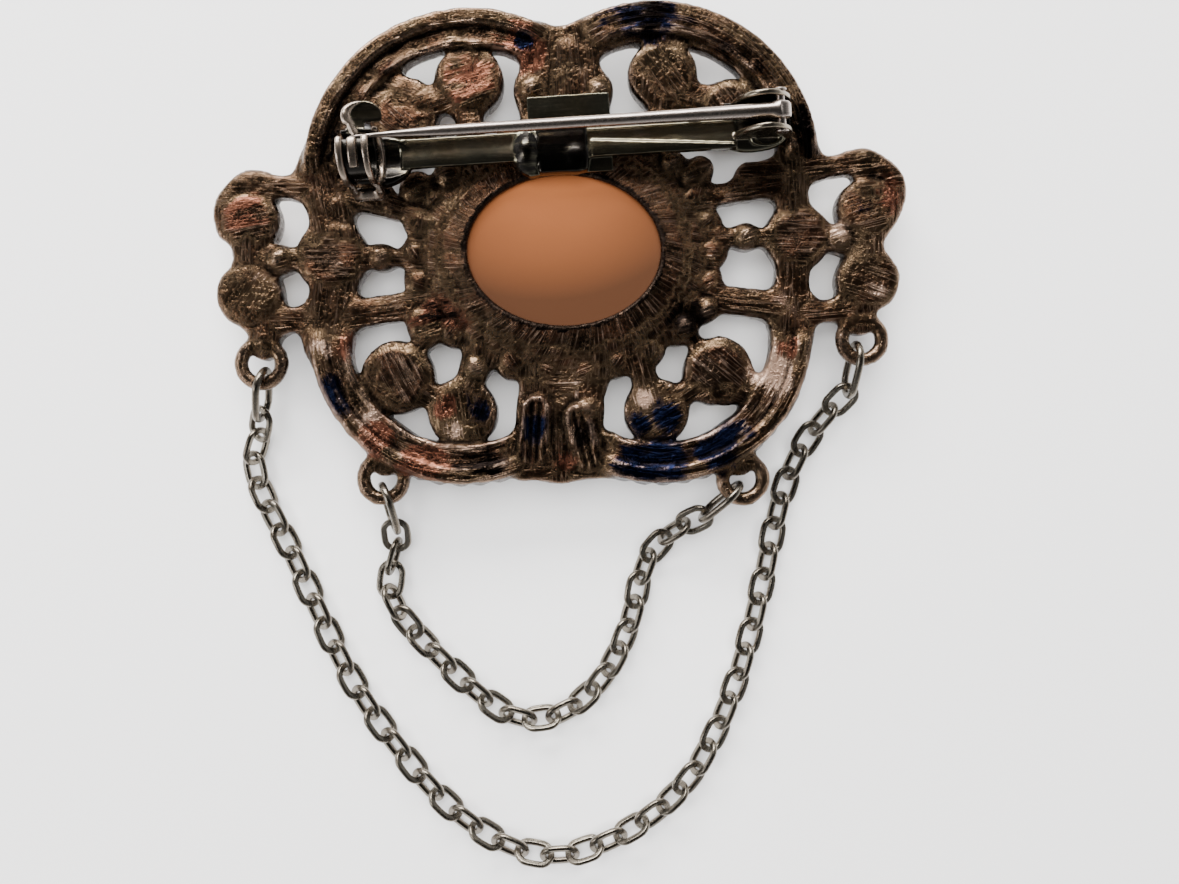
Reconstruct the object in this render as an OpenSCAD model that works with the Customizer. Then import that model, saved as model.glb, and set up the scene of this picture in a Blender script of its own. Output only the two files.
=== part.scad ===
// Faux pearl brooch, lying face down: an openwork casting with fourteen half pearls and one large
// oval pearl on its hidden front, a pin back with a turning safety lock, and two draped chains.
// Millimetres, +Z up, the floor at z = 0. Plan places are measured from the middle of the oval pearl.

/* [Casting] */
// Height of the casting's front edge over the floor
front_z = 2.6; // [2.4:0.1:2.8]
// Height of the plain backs of the struts
strut_z = 5.8; // [5.6:0.1:6]
// Height of the scrolls' flat back rims
rim_z = 6.8; // [6.6:0.1:7]
// Height of the lip round the oval window
lip_z = 7.05; // [7:0.05:7.2]

/* [Oval pearl] */
// Half length of the large pearl
oval_a = 10.95; // [10.6:0.05:11]
// Half width of the large pearl
oval_b = 8.85; // [8.6:0.05:8.9]
// Height of the pearl's flat back
oval_back_z = 5.9; // [5.7:0.1:5.9]

/* [Pin back] */
// Turn of the pin back on the casting, in degrees
pin_turn = 3.6; // [3:0.1:4]
// Diameter of the pin wire
pin_d = 1.1; // [0.9:0.1:1.1]
// Height of the pin wire's centre
pin_z = 10.5; // [10.4:0.1:10.6]
// Half length of the flat bar
bar_half = 16; // [15.8:0.1:16.2]
// Width of the flat bar
bar_w = 2.8; // [2.6:0.1:3]

/* [Chains] */
// Length of a chain link
link_l = 4.1; // [4.05:0.05:4.15]
// Width of a chain link
link_w = 3; // [2.95:0.05:3.05]
// Diameter of the chain wire
link_d = 0.66; // [0.62:0.02:0.66]
// Length of a jump link
jump_l = 6; // [5.9:0.1:6.1]
// Width of a jump link
jump_w = 3.9; // [3.8:0.1:4]
// Diameter of the jump link wire
jump_d = 0.74; // [0.7:0.02:0.76]

/* [Hidden] */
$fn = 64;
lap = 0.2;
gap = 0.1;

// The middle of the whole brooch's outline, with its chains, seen from above
middle = [-0.4, -18.42];

// Round pearl cups: name, x, y, cup radius, pearl radius
CUPS = [
    ["top_left_inner", -9.3, 16.7, 3.3, 2.7],
    ["top_left_outer", -15.7, 13.1, 3.2, 2.7],
    ["top_right_inner", 9.6, 17.3, 3.3, 2.7],
    ["top_right_outer", 16.2, 13.6, 3.2, 2.7],
    ["left_wing_upper", -30.7, 3.1, 2.9, 2.4],
    ["left_wing_lower", -30.7, -4.2, 3.1, 2.4],
    ["left_wing_inner", -22.6, -0.5, 3.4, 2.7],
    ["right_wing_upper", 29.5, 4.2, 2.9, 2.4],
    ["right_wing_lower", 29.6, -2.7, 3.0, 2.4],
    ["right_wing_inner", 22.8, 1.5, 3.1, 2.5],
    ["low_left_outer", -16.2, -12.2, 3.5, 2.7],
    ["low_left_inner", -9.9, -15.7, 3.3, 2.7],
    ["low_right_outer", 15.0, -11.6, 3.3, 2.7],
    ["low_right_inner", 9.0, -15.6, 3.1, 2.7]
];
function cup_name(c) = c[0];
function cup_at(c) = [c[1], c[2], 0];
function cup_r(c) = c[3];
function pearl_r(c) = c[4];
pearl_back_z = 3.8;
cup_floor_z = 3.9;
cup_dome = 0.75;

// C-scrolls: centre x, centre y, outer radius, inner radius, first angle, turn
SCROLLS = [
    [-9.1, 7.3, 16.2, 12.6, 60, 122],
    [8.8, 8.3, 16.0, 12.2, 0, 120],
    [-9.9, -7.7, 14.9, 11.1, 178, 118],
    [9.3, -7.7, 14.8, 10.9, 244, 118]
];

// Wing rims, thin arcs round the outer cups: centre x, centre y, outer radius, inner radius,
// first angle, turn
WING_RIMS = [
    [-30.3, 3.7, 3.6, 2.2, 80, 130],
    [29.5, 5.8, 3.6, 2.2, -60, 165]
];

// Straight struts and leaves of the openwork: x and y of one end, x and y of the other end, width
STRUTS = [
    // left wing
    [-23.9, 8.2, -22.4, 1.5, 3.7],
    [-20.8, 5.4, -14.2, 3.6, 1.5],
    [-22.5, 6.3, -17.8, 6.1, 1.4],
    [-23.2, -8.8, -22.4, -2.0, 3.9],
    [-21.5, -6.2, -14.6, -5.1, 1.6],
    [-23.5, 6.2, -30.6, 6.5, 1.6],
    [-23.5, -6.5, -30.0, -6.7, 1.8],
    [-30.7, 1.6, -30.7, -2.6, 2.7],
    [-29.3, -0.7, -25.1, -0.6, 1.5],
    [-20.2, -0.5, -14.5, -0.5, 1.2],
    // right wing
    [22.2, 8.6, 22.4, 3.0, 2.5],
    [21.0, 6.6, 12.6, 5.2, 1.1],
    [17.9, 7.7, 22.0, 7.9, 1.6],
    [23.5, 8.1, 29.0, 8.8, 1.5],
    [22.5, -5.9, 28.5, -5.5, 1.7],
    [29.6, 2.6, 29.6, -1.0, 2.5],
    [24.4, 1.4, 28.9, 1.3, 1.4],
    [14.5, 1.5, 21.0, 1.5, 1.2],
    [22.3, 0.0, 22.2, -8.4, 2.7],
    [22.0, -5.4, 14.0, -4.4, 1.6],
    // top
    [-13.8, 14.4, -11.4, 15.2, 2.2],
    [-9.3, 14.5, -9.1, 8.5, 2.1],
    [-2.2, 20.4, -2.8, 15.6, 3.0],
    [-3.1, 16.0, -2.7, 10.0, 1.9],
    [1.4, 20.3, 1.9, 15.6, 3.0],
    [-0.5, 19.6, -0.3, 15.0, 1.8],
    [3.3, 16.0, 2.9, 10.0, 1.9],
    [9.6, 15.0, 8.8, 8.8, 2.1],
    [12.0, 15.4, 14.4, 14.6, 2.2],
    [9.6, 19.5, 9.6, 21.0, 1.9],
    // bottom left
    [-14.0, -9.3, -11.4, -7.0, 0.6],
    [-14.0, -13.5, -12.0, -14.6, 1.7],
    [-8.4, -10.0, -9.5, -13.4, 2.1],
    // bottom right
    [7.2, -10.0, 8.2, -13.6, 2.0],
    [11.0, -14.3, 12.8, -13.1, 1.7],
    [16.6, -12.8, 20.6, -14.2, 2.5],
    [11.4, -6.5, 13.2, -9.6, 0.7],
    // bottom middle
    [-3.4, -19.9, -2.6, -14.8, 2.9],
    [-2.6, -15.2, -2.4, -10.0, 2.1],
    [2.4, -19.9, 1.6, -15.8, 2.5],
    [2.1, -15.4, 2.4, -10.0, 2.5],
    [-3.9, -20.8, 4.0, -20.6, 2.0],
    [-0.4, -15.5, -0.4, -20.6, 2.9],
    [-2.6, -12.5, 2.6, -12.5, 1.9],
    // necks of the four chain loops
    [-29.3, -9.2, -28.9, -5.6, 2.1],
    [28.9, -6.8, 28.6, -4.4, 2.1],
    [-17.5, -20.4, -17.1, -18.2, 2.3],
    [17.1, -20.4, 16.5, -18.2, 2.3]
];

// Round pips and knobs between the larger forms: x, y, radius
PIPS = [
    [-17.8, -0.5, 1.2], [17.7, 1.5, 1.2], [26.7, 1.3, 1.2], [-27.7, -0.8, 1.3],
    [-3.2, 15.9, 1.3], [3.3, 15.8, 1.1], [2.3, -15.3, 1.2],
    [12.4, 7.3, 1.4], [13.3, 8.1, 1.2], [10.5, 8.6, 1.3], [11.6, -7.3, 1.3], [13.8, -5.6, 1.2],
    [-14.3, 6.2, 1.6], [-11.3, 7.4, 1.4], [-13.4, -7.1, 1.9], [-8.6, -11.2, 1.2]
];
pip_top_z = 6.3;

// The setting of the oval pearl
window_a = 9.35;
window_b = 7.25;
lip_w = 0.45;
plate_a = 13;
plate_b = 10.8;
collar_w = 1.5;
plate_z = 6.7;
ring_lobes = 26;
ring_lobe_r = 1.45;
ring_a = 14.4;
ring_b = 11.6;
ring_lobe_z = 6.2;

// Cast loops with their jump links: name, x, y, where the link crosses the loop, its heading,
// its dip, its roll
LOOPS = [
    ["outer_left", -29.5, -10.9, -88, -101.5, 35.5, 94],
    ["outer_right", 29.0, -8.5, -108, -97, 31, 83],
    ["inner_left", -17.6, -22.1, -81, -82, 38.5, 71],
    ["inner_right", 17.4, -22.1, 231, 222, 29, 83]
];
function loop_at(l) = [l[1], l[2], loop_z];
function crossing(l) = loop_r * [cos(l[3]), sin(l[3]), 0];
function way(l) = [cos(l[5]) * cos(l[4]), cos(l[5]) * sin(l[4]), -sin(l[5])];
loop_r = 1.95;
loop_wire_r = 0.7;
loop_z = 5.3;
jump_slack = 0.26;

// The pin back's own axes: along the bar, across it, and up
pin_middle = [0.46, 9.96, 0];
bar_z = 6.95;
bar_t = 0.85;
tab_x = 0.2;
tab_l = 7.9;
tab_y = 1.05;
tab_w = 7.5;
mound_x = -1.8;
mound_y = -0.6;
mound_l = 7;
mound_w = 4.2;
mound_t = 1.1;
pin_y = 1.2;
pin_tip_r = 0.1;
taper_x = -11.6;
tip_x = -20.3;
neck_x = 15.2;
neck_over = 0.2;
hinge_x = 20;
hinge_z = 10.1;
ear_t = 0.5;
ear_r = 1.3;
ear_gap = 2.6;
eye_r = 1;
eye_w = 2.3;
rivet_r = 0.4;
head_r = 0.72;
head_t = 0.3;
seat_gap = 0.03;
run_gap = 0.05;

// The catch: a split tube in a split shell of two ribs, angles from the outward side of the pin
catch_x = -19.7;
catch_y = -0.5;
catch_z = 10.3;
shell_r = 2.95;
shell_t = 0.45;
rib_w = 0.5;
rib_pitch = 2.4;
mouth_from = -15;
mouth_to = 66;
sheet_in = 0.06;
sheet_from = 200;
sheet_turn = 100;
lock_r = 2.05;
band_r = 2.75;
band_w = 1.7;
thumb_r = 4.6;
thumb_w = 2.7;
thumb_t = 0.45;

// Routes of the two chains between their jump links: x, y, z, points chosen by hand
OUTER_ROUTE = [
    [-30.55, -17.5, 1.9], [-31.55, -19.95, 1.55], [-30.8, -23.2, 1.4], [-29.1, -26.6, 1.35],
    [-27.3, -30.2, 1.3],
    [-25.7, -33.8, 1.3], [-24.0, -37.5, 1.3], [-22.3, -41.1, 1.3], [-19.7, -45.5, 1.3], [-16.7, -49.5, 1.3],
    [-13.3, -53.7, 1.3], [-9.3, -57.2, 1.3], [-4.7, -59.7, 1.3], [-0.2, -60.3, 1.3], [4.1, -58.9, 1.35],
    [8.6, -56.3, 1.4], [12.6, -52.4, 1.5], [15.2, -47.7, 1.5], [17.4, -42.2, 1.5], [18.9, -36.8, 1.5],
    [20.2, -31.3, 1.5], [21.4, -25.4, 1.5], [22.9, -20.85, 1.5], [25.15, -17.0, 1.7]
];
INNER_ROUTE = [
    [-16.8, -29.05, 1.55], [-17.9, -32.55, 1.85], [-17.3, -34.8, 1.6], [-15.3, -37.5, 1.4],
    [-12.3, -40.6, 1.35],
    [-8.9, -43.8, 1.3], [-5.5, -46.2, 1.3], [-1.7, -46.5, 1.3], [2.1, -44.3, 1.3], [5.1, -40.3, 1.35],
    [7.0, -35.2, 1.4], [7.85, -30.85, 1.55], [10.05, -27.95, 1.5]
];
// How far links lean from lying flat, in degrees: the share of the way along the chain, and the lean
OUTER_LEAN = [[0, 25.5], [0.15, 44], [0.5, 42], [0.7, 26.5], [1, 22.5]];
INNER_LEAN = [[0, -2.5], [0.3, 50], [0.7, 40], [1, 21]];
route_steps = 8;
link_gap = 0.12;
link_flat = 0.29;
jump_flat = 0.37;

pearl_nodes = [for (c = CUPS) str("pearl_", cup_name(c))];
jump_nodes = [for (l = LOOPS) str("jump_link_", l[0])];

// An ellipse of half axes a and b, standing from z0 to z1
module oval(a, b, z0, z1) {
    translate([0, 0, z0])
        linear_extrude(z1 - z0)
            scale([a / b, 1])
                circle(b);
}

// A flat bar in plan from one end of a table row to the other
module strut(s) {
    run = [s[2] - s[0], s[3] - s[1]];
    translate([s[0], s[1]])
        rotate(atan2(run.y, run.x))
            translate([0, -s[4] / 2])
                square([norm(run), s[4]]);
}

// A C-scroll: flat outer rim, a trough, and a thin inner rim on the back; a plain rounded front
module scroll(s) {
    ro = s[2];
    ri = s[3];
    section = [
        [ri + 0.3, front_z + 0.8], [ri + 1.2, front_z - 0.1], [ro - 1.2, front_z - 0.1],
        [ro - 0.3, front_z + 0.6], [ro, front_z + 1.6], [ro - 0.45, rim_z], [ro - 1.7, rim_z],
        [ro - 2.1, rim_z - 0.7],
        [ri + 0.8, rim_z - 0.9], [ri + 0.35, rim_z - 0.4], [ri, rim_z - 0.5], [ri, front_z + 1.2]
    ];
    translate([s[0], s[1], 0])
        rotate(s[4])
            rotate_extrude(angle = s[5])
                polygon(section);
}

module wing_rim(s) {
    translate([s[0], s[1], front_z + 0.6])
        rotate(s[4])
            rotate_extrude(angle = s[5])
                translate([s[3], 0])
                    square([s[2] - s[3], strut_z - front_z - 0.1]);
}

// The back of a pearl cup: a collar with a low dome
module cup_body(c) {
    r = cup_r(c);
    profile = [
        [0, front_z], [r, front_z], [r, strut_z - 0.2], [r - 0.3, strut_z + 0.1],
        [r * 0.6, strut_z + 0.75 * cup_dome], [r * 0.25, strut_z + cup_dome], [0, strut_z + cup_dome]
    ];
    translate(cup_at(c))
        rotate_extrude()
            polygon(profile);
}

module pearl_seat(c) {
    translate(cup_at(c))
        cylinder(h = cup_floor_z, r = pearl_r(c) + gap);
}

// The oval setting: collar, back plate, lobed ring and window lip
module setting() {
    difference() {
        union() {
            oval(oval_a + collar_w, oval_b + collar_w, front_z - 0.2, plate_z - 0.3);
            oval(plate_a, plate_b, strut_z - 0.6, plate_z);
            oval(ring_a, ring_b, front_z + 0.8, strut_z - 0.1);
            oval(window_a + lip_w, window_b + lip_w, strut_z, lip_z);
            for (i = [0:ring_lobes - 1])
                let (a = i * 360 / ring_lobes)
                    translate([ring_a * cos(a), ring_b * sin(a), front_z + 0.4])
                        ring_lobe(ring_lobe_r * (i % 2 == 0 ? 1 : 0.86));
        }
        translate([0, 0, -lap])
            oval(oval_a + gap, oval_b + gap, 0, oval_back_z + gap + lap);
        oval(window_a, window_b, 0, lip_z + lap);
    }
}

module ring_lobe(r) {
    h = ring_lobe_z - front_z - 0.4;
    rotate_extrude()
        polygon([[0, 0], [r - 0.3, 0], [r, 0.4], [r, h - 0.5], [r - 0.5, h], [0, h]]);
}

module chain_loop(l) {
    translate(loop_at(l))
        rotate_extrude()
            translate([loop_r, 0])
                circle(loop_wire_r);
}

module openwork() {
    translate([0, 0, front_z + 0.8])
        linear_extrude(strut_z - front_z - 0.8)
            for (s = STRUTS)
                strut(s);
    for (p = PIPS)
        translate([p[0], p[1], front_z + 0.8])
            cylinder(h = pip_top_z - front_z - 0.8, r = p[2]);
}

// Turns and places what is drawn along the pin back's own axes
module on_pin_back() {
    translate(pin_middle)
        rotate(pin_turn)
            children();
}

// A ring sector round the catch's axis, from one angle over a turn, across the width about the middle
module catch_sector(r0, r1, w, from, turn) {
    translate([catch_x - w / 2, catch_y, catch_z])
        rotate([0, 90, 0])
            rotate(from + 90)
                rotate_extrude(angle = turn)
                    translate([r0, 0])
                        square([r1 - r0, w]);
}

// The soldered pin back: bar, cross tab, solder mound, hinge ears and the catch's shell
module pin_back() {
    translate([-bar_half, -bar_w / 2, bar_z])
        cube([2 * bar_half, bar_w, bar_t]);
    translate([tab_x - tab_l / 2, tab_y - tab_w / 2, bar_z - 0.3])
        cube([tab_l, tab_w, 0.7]);
    translate([mound_x, mound_y, bar_z + bar_t - 0.3])
        mound();
    hinge_base();
    catch_shell();
}

// A pillow of solder with round ends and sloping sides
module mound() {
    for (side = [-1, 1])
        translate([side * (mound_l - mound_w) / 2, 0, 0])
            cylinder(h = mound_t, r1 = mound_w / 2, r2 = mound_w / 2 - 0.6);
    rotate([90, 0, 90])
        translate([0, 0, -(mound_l - mound_w) / 2])
            linear_extrude(mound_l - mound_w)
                polygon([
                    [-mound_w / 2, 0], [mound_w / 2, 0],
                    [mound_w / 2 - 0.6, mound_t], [-mound_w / 2 + 0.6, mound_t]
                ]);
}

// Two ears folded up from the bar's end, bored for the rivet
module hinge_base() {
    foot_x = bar_half - 1;
    difference() {
        union() {
            translate([foot_x, pin_y - ear_gap / 2 - ear_t, bar_z])
                cube([hinge_x + ear_r - foot_x, ear_gap + 2 * ear_t, bar_t]);
            for (side = [-1, 1])
                translate([0, pin_y + side * (ear_gap + ear_t) / 2, 0])
                    ear();
        }
        translate([hinge_x, pin_y, hinge_z])
            rotate([90, 0, 0])
                cylinder(h = ear_gap + 4 * ear_t, r = rivet_r + seat_gap, center = true);
    }
}

module ear() {
    rotate([90, 0, 0])
        translate([0, 0, -ear_t / 2])
            linear_extrude(ear_t) {
                translate([hinge_x, hinge_z])
                    circle(ear_r);
                polygon([
                    [hinge_x - 3, bar_z + 0.1], [hinge_x + ear_r - 0.05, bar_z + 0.1],
                    [hinge_x + ear_r - 0.05, hinge_z], [hinge_x - 0.9, hinge_z + 0.8]
                ]);
            }
}

// Two split ribs joined by a sheet below, on a foot at the bar's end
module catch_shell() {
    inner = shell_r - shell_t;
    turn = 360 - (mouth_to - mouth_from);
    for (side = [-1, 1])
        translate([side * rib_pitch / 2, 0, 0])
            catch_sector(inner, shell_r, rib_w, mouth_to, turn);
    catch_sector(inner + sheet_in, shell_r - sheet_in, rib_pitch, sheet_from, sheet_turn);
    difference() {
        translate([catch_x - rib_pitch / 2 - rib_w / 2, catch_y - 2.1, bar_z])
            cube([-bar_half + 1.2 - catch_x + rib_pitch / 2 + rib_w / 2, 4, 1.35]);
        translate([catch_x, catch_y, catch_z])
            rotate([0, 90, 0])
                cylinder(h = rib_pitch + rib_w + 3, r = band_r + gap, center = true);
    }
}

module brooch_frame() {
    color([0.29, 0.25, 0.2])
        difference() {
            union() {
                for (s = SCROLLS)
                    scroll(s);
                for (s = WING_RIMS)
                    wing_rim(s);
                for (c = CUPS)
                    cup_body(c);
                for (l = LOOPS)
                    chain_loop(l);
                openwork();
                setting();
                on_pin_back()
                    pin_back();
            }
            for (c = CUPS)
                pearl_seat(c);
            oval(oval_a + gap, oval_b + gap, -lap, oval_back_z + gap);
            oval(window_a, window_b, oval_back_z, lip_z - 0.1);
        }
}

// Half an ellipsoid with its flat back up
module pearl_oval() {
    color([0.78, 0.55, 0.4])
        intersection() {
            translate([0, 0, oval_back_z])
                scale([oval_a / oval_back_z, oval_b / oval_back_z, 1])
                    sphere(oval_back_z);
            translate([-oval_a - 1, -oval_b - 1, -1])
                cube([2 * oval_a + 2, 2 * oval_b + 2, oval_back_z + 1]);
        }
}

// A round bead with its back cut flat, resting on the floor
module pearl(c) {
    r = pearl_r(c);
    color([0.93, 0.89, 0.82])
        translate(cup_at(c))
            intersection() {
                translate([0, 0, r])
                    sphere(r);
                cylinder(h = pearl_back_z, r = r + 1);
            }
}

// The pin: a wire that tapers to its point, with a bored eye on the rivet
module pin_stem() {
    color([0.62, 0.58, 0.52])
        on_pin_back()
            difference() {
                union() {
                    translate([taper_x, pin_y, pin_z])
                        rotate([0, 90, 0])
                            cylinder(h = neck_x + 0.5 - taper_x, r = pin_d / 2);
                    translate([neck_x, pin_y, pin_z])
                        rotate([0, 90, 0])
                            cylinder(h = hinge_x - 0.2 - neck_x, r = pin_d / 2 + neck_over);
                    translate([taper_x, pin_y, pin_z])
                        rotate([0, -90, 0])
                            cylinder(h = taper_x - tip_x, r1 = pin_d / 2, r2 = pin_tip_r);
                    translate([hinge_x, pin_y, hinge_z])
                        rotate([90, 0, 0])
                            cylinder(h = eye_w, r = eye_r, center = true);
                }
                translate([hinge_x, pin_y, hinge_z])
                    rotate([90, 0, 0])
                        cylinder(h = eye_w + 1, r = rivet_r + run_gap, center = true);
            }
}

module hinge_rivet() {
    shank = ear_gap + 2 * ear_t + 2 * seat_gap;
    color([0.6, 0.56, 0.5])
        on_pin_back()
            translate([hinge_x, pin_y, hinge_z])
                rotate([90, 0, 0]) {
                    cylinder(h = shank + 2 * head_t, r = rivet_r, center = true);
                    for (side = [-1, 1])
                        translate([0, 0, side * (shank + head_t) / 2])
                            cylinder(h = head_t, r = head_r, center = true);
                }
}

// The safety lock: a split tube with a thumb plate, stored with its gap in the shell's mouth
module catch_lock() {
    turn = 360 - mouth_to;
    lock_out = shell_r - shell_t - run_gap;
    color([0.4, 0.37, 0.33])
        on_pin_back() {
            catch_sector(lock_r, lock_out, rib_pitch + rib_w, mouth_to, turn);
            catch_sector(lock_r, band_r, band_w, mouth_to, 64);
            catch_sector(lock_r, band_r, band_w, 306, 54);
            translate([catch_x - thumb_w / 2, catch_y + lock_r + 0.1, catch_z - thumb_t])
                cube([thumb_w, thumb_r - lock_r - 0.1, thumb_t]);
        }
}

// A wire's cross-section, ground flat on both faces
module wire_section(d, flat) {
    intersection() {
        circle(d / 2);
        square([2 * d, 2 * flat], center = true);
    }
}

// An oval link, its long axis along X and its faces up and down
module oval_link(l, w, d, flat) {
    side_l = l - w;
    for (end = [-1, 1])
        translate([end * side_l / 2, 0, 0])
            rotate(-90 * end)
                rotate_extrude(angle = 180)
                    translate([(w - d) / 2, 0])
                        wire_section(d, flat);
    for (side = [-1, 1])
        translate([-side_l / 2, side * (w - d) / 2, 0])
            rotate([90, 0, 90])
                linear_extrude(side_l)
                    wire_section(d, flat);
}

// Points a child's X axis from a to b, centred between them, after a roll about X
module between(a, b, roll) {
    run = b - a;
    translate((a + b) / 2)
        rotate([roll, -asin(run.z / norm(run)), atan2(run.y, run.x)])
            children();
}

// The middle of a jump link's wire at its end in the cast loop, and at the other end
function jump_start(l) = loop_at(l) + crossing(l) - (loop_wire_r + jump_slack + jump_d / 2) * way(l);
function jump_end(l) = jump_start(l) + (jump_l - jump_d) * way(l);

// A jump link hooked round its cast loop and dipping to the floor
module jump_link(l) {
    color([0.42, 0.38, 0.34])
        between(jump_start(l), jump_end(l), l[6])
            oval_link(jump_l, jump_w, jump_d, jump_flat);
}

// Where an end link's wire sits in a jump link, for a chain that leaves it towards a point
function chain_hold(l, towards) =
    let(run = towards - jump_end(l))
        jump_end(l) - ((jump_d + link_d) / 2 + link_gap) * run / norm(run);

// A smooth curve through the points of a route, by the cubic that Catmull and Rom gave
function curve_point(p0, p1, p2, p3, t) =
    (2 * p1 + (p2 - p0) * t + (2 * p0 - 5 * p1 + 4 * p2 - p3) * t * t
        + (3 * p1 - p0 - 3 * p2 + p3) * t * t * t) / 2;
function smooth(route) = [
    for (i = [0:len(route) - 2], k = [0:route_steps - 1])
        curve_point(
            route[max(i - 1, 0)], route[i], route[i + 1], route[min(i + 2, len(route) - 1)], k / route_steps
        ),
    route[len(route) - 1]
];
function run_lengths(points, i = 0, done = [0]) =
    i == len(points) - 1
        ? done
        : run_lengths(points, i + 1, concat(done, [done[i] + norm(points[i + 1] - points[i])]));
function along(points, lengths, s) = [
    for (axis = [0:2]) lookup(s, [for (i = [0:len(points) - 1]) [lengths[i], points[i][axis]]])
];

// Links strung along a route, an odd number of them, each turned a quarter from the last
module chain(route, lean) {
    points = smooth(route);
    lengths = run_lengths(points);
    total = lengths[len(lengths) - 1];
    reach = link_l - link_d;
    pitch_most = link_l - 2 * link_d - link_gap;
    count = 2 * ceil((total - reach) / pitch_most / 2) + 1;
    pitch = (total - reach) / (count - 1);
    color([0.42, 0.38, 0.34])
        for (i = [0:count - 1]) {
            roll = 90 * (i % 2) + lookup(i / (count - 1), lean);
            between(along(points, lengths, i * pitch), along(points, lengths, i * pitch + reach), roll)
                oval_link(link_l, link_w, link_d, link_flat);
        }
}

// A route with its two ends run into their jump links
function held(route, first, last) = concat(
    [chain_hold(first, route[0])], route, [chain_hold(last, route[len(route) - 1])]
);

module chain_outer() {
    chain(held(OUTER_ROUTE, LOOPS[0], LOOPS[1]), OUTER_LEAN);
}

module chain_inner() {
    chain(held(INNER_ROUTE, LOOPS[2], LOOPS[3]), INNER_LEAN);
}

translate([-middle.x, -middle.y, 0]) {
    brooch_frame();
    pearl_oval();
    for (i = [0:len(CUPS) - 1])
        pearl(CUPS[i]);
    pin_stem();
    hinge_rivet();
    catch_lock();
    for (i = [0:len(LOOPS) - 1])
        jump_link(LOOPS[i]);
    chain_outer();
    chain_inner();
}
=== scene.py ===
import math

import bpy
import numpy as np
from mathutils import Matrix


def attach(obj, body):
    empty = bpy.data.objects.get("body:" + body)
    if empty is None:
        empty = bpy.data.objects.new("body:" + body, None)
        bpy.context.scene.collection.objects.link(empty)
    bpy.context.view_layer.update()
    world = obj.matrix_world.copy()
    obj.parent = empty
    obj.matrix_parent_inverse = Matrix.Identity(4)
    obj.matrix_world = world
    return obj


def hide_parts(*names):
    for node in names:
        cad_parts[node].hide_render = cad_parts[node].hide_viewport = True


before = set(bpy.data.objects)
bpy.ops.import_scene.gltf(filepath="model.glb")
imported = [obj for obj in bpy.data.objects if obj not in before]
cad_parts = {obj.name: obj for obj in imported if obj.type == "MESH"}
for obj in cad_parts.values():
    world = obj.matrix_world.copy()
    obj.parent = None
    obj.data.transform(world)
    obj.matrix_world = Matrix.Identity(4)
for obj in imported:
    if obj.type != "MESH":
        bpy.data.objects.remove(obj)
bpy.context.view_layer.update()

# Plan sizes are in millimetres from the middle of the oval pearl, as in the part's source, and MIDDLE moves them to the
# part's frame.
MM = 0.001
MIDDLE = np.array([-0.4, -18.42, 0.0])
FRONT_Z, WEB_FRONT_Z, STRUT_Z = 2.6, 3.4, 5.8
FILLET, WEB_GROW = 1.7, 0.28
OVAL_A, OVAL_B, OVAL_BACK_Z, BEAD_BACK_Z = 10.95, 8.85, 5.9, 3.78
# LIP_WIDE is how far out from the window the metal is painted dark with shade
WINDOW_A, WINDOW_B, LIP_WIDE = 9.35, 7.25, 0.55
PLATE_A, PLATE_B = 14.0, 11.7
# The marks on the back plate run out from the middle: how much wider than high their pattern is, how they bend and the
# radius that turns their angle into a length
RAY_SQUEEZE, RAY_BEND, RAY_RADIUS = 1.25, 0.03, 13

# Pearl cups: name, x, y, cup radius, pearl radius, direction of the file marks, lean of the filed face, its polish
CUPS = [
    ("top_left_inner", -9.3, 16.7, 3.3, 2.7, 20, 0.10, 0.5),
    ("top_left_outer", -15.7, 13.1, 3.2, 2.7, 142, -0.10, 0.1),
    ("top_right_inner", 9.6, 17.3, 3.3, 2.7, 125, 0.08, 0.8),
    ("top_right_outer", 16.2, 13.6, 3.2, 2.7, 128, 0.05, 0.3),
    ("left_wing_upper", -30.7, 3.1, 2.9, 2.4, 10, -0.06, 0.1),
    ("left_wing_lower", -30.7, -4.2, 3.1, 2.4, 60, 0.04, 0.9),
    ("left_wing_inner", -22.6, -0.5, 3.4, 2.7, 2, 0.04, 0.05),
    ("right_wing_upper", 29.5, 4.2, 2.9, 2.4, 15, 0.08, 0.5),
    ("right_wing_lower", 29.6, -2.7, 3.0, 2.4, 160, -0.05, 0.4),
    ("right_wing_inner", 22.8, 1.5, 3.1, 2.5, 178, -0.04, 0.05),
    ("low_left_outer", -16.2, -12.2, 3.5, 2.7, 118, 0.06, 0.15),
    ("low_left_inner", -9.9, -15.7, 3.3, 2.7, 100, -0.12, 1.0),
    ("low_right_outer", 15.0, -11.6, 3.3, 2.7, 140, 0.06, 0.1),
    ("low_right_inner", 9.0, -15.6, 3.1, 2.7, 30, 0.14, 1.0)
]
# C-scrolls: centre x, centre y, outer radius, inner radius, first angle, turn, then the heights of its back at the
# inner edge, along its trough, on its outer band and at the outer edge
SCROLLS = [
    (-9.1, 7.3, 16.2, 12.6, 60, 122, 6.2, 5.95, 6.66, 6.45), (8.8, 8.3, 16.0, 12.2, 0, 120, 5.7, 6.5, 6.6, 5.9),
    (-9.9, -7.7, 14.9, 11.1, 178, 118, 6.3, 6.05, 6.5, 6.25), (9.3, -7.7, 14.8, 10.9, 244, 118, 6.2, 6.0, 6.55, 6.2)
]
SCROLL_LOBES = 15
# Wing rims: centre x, centre y, outer radius, inner radius, first angle, turn
WING_RIMS = [(-30.3, 3.7, 3.6, 2.2, 80, 130), (29.5, 5.8, 3.6, 2.2, -60, 165)]
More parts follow.
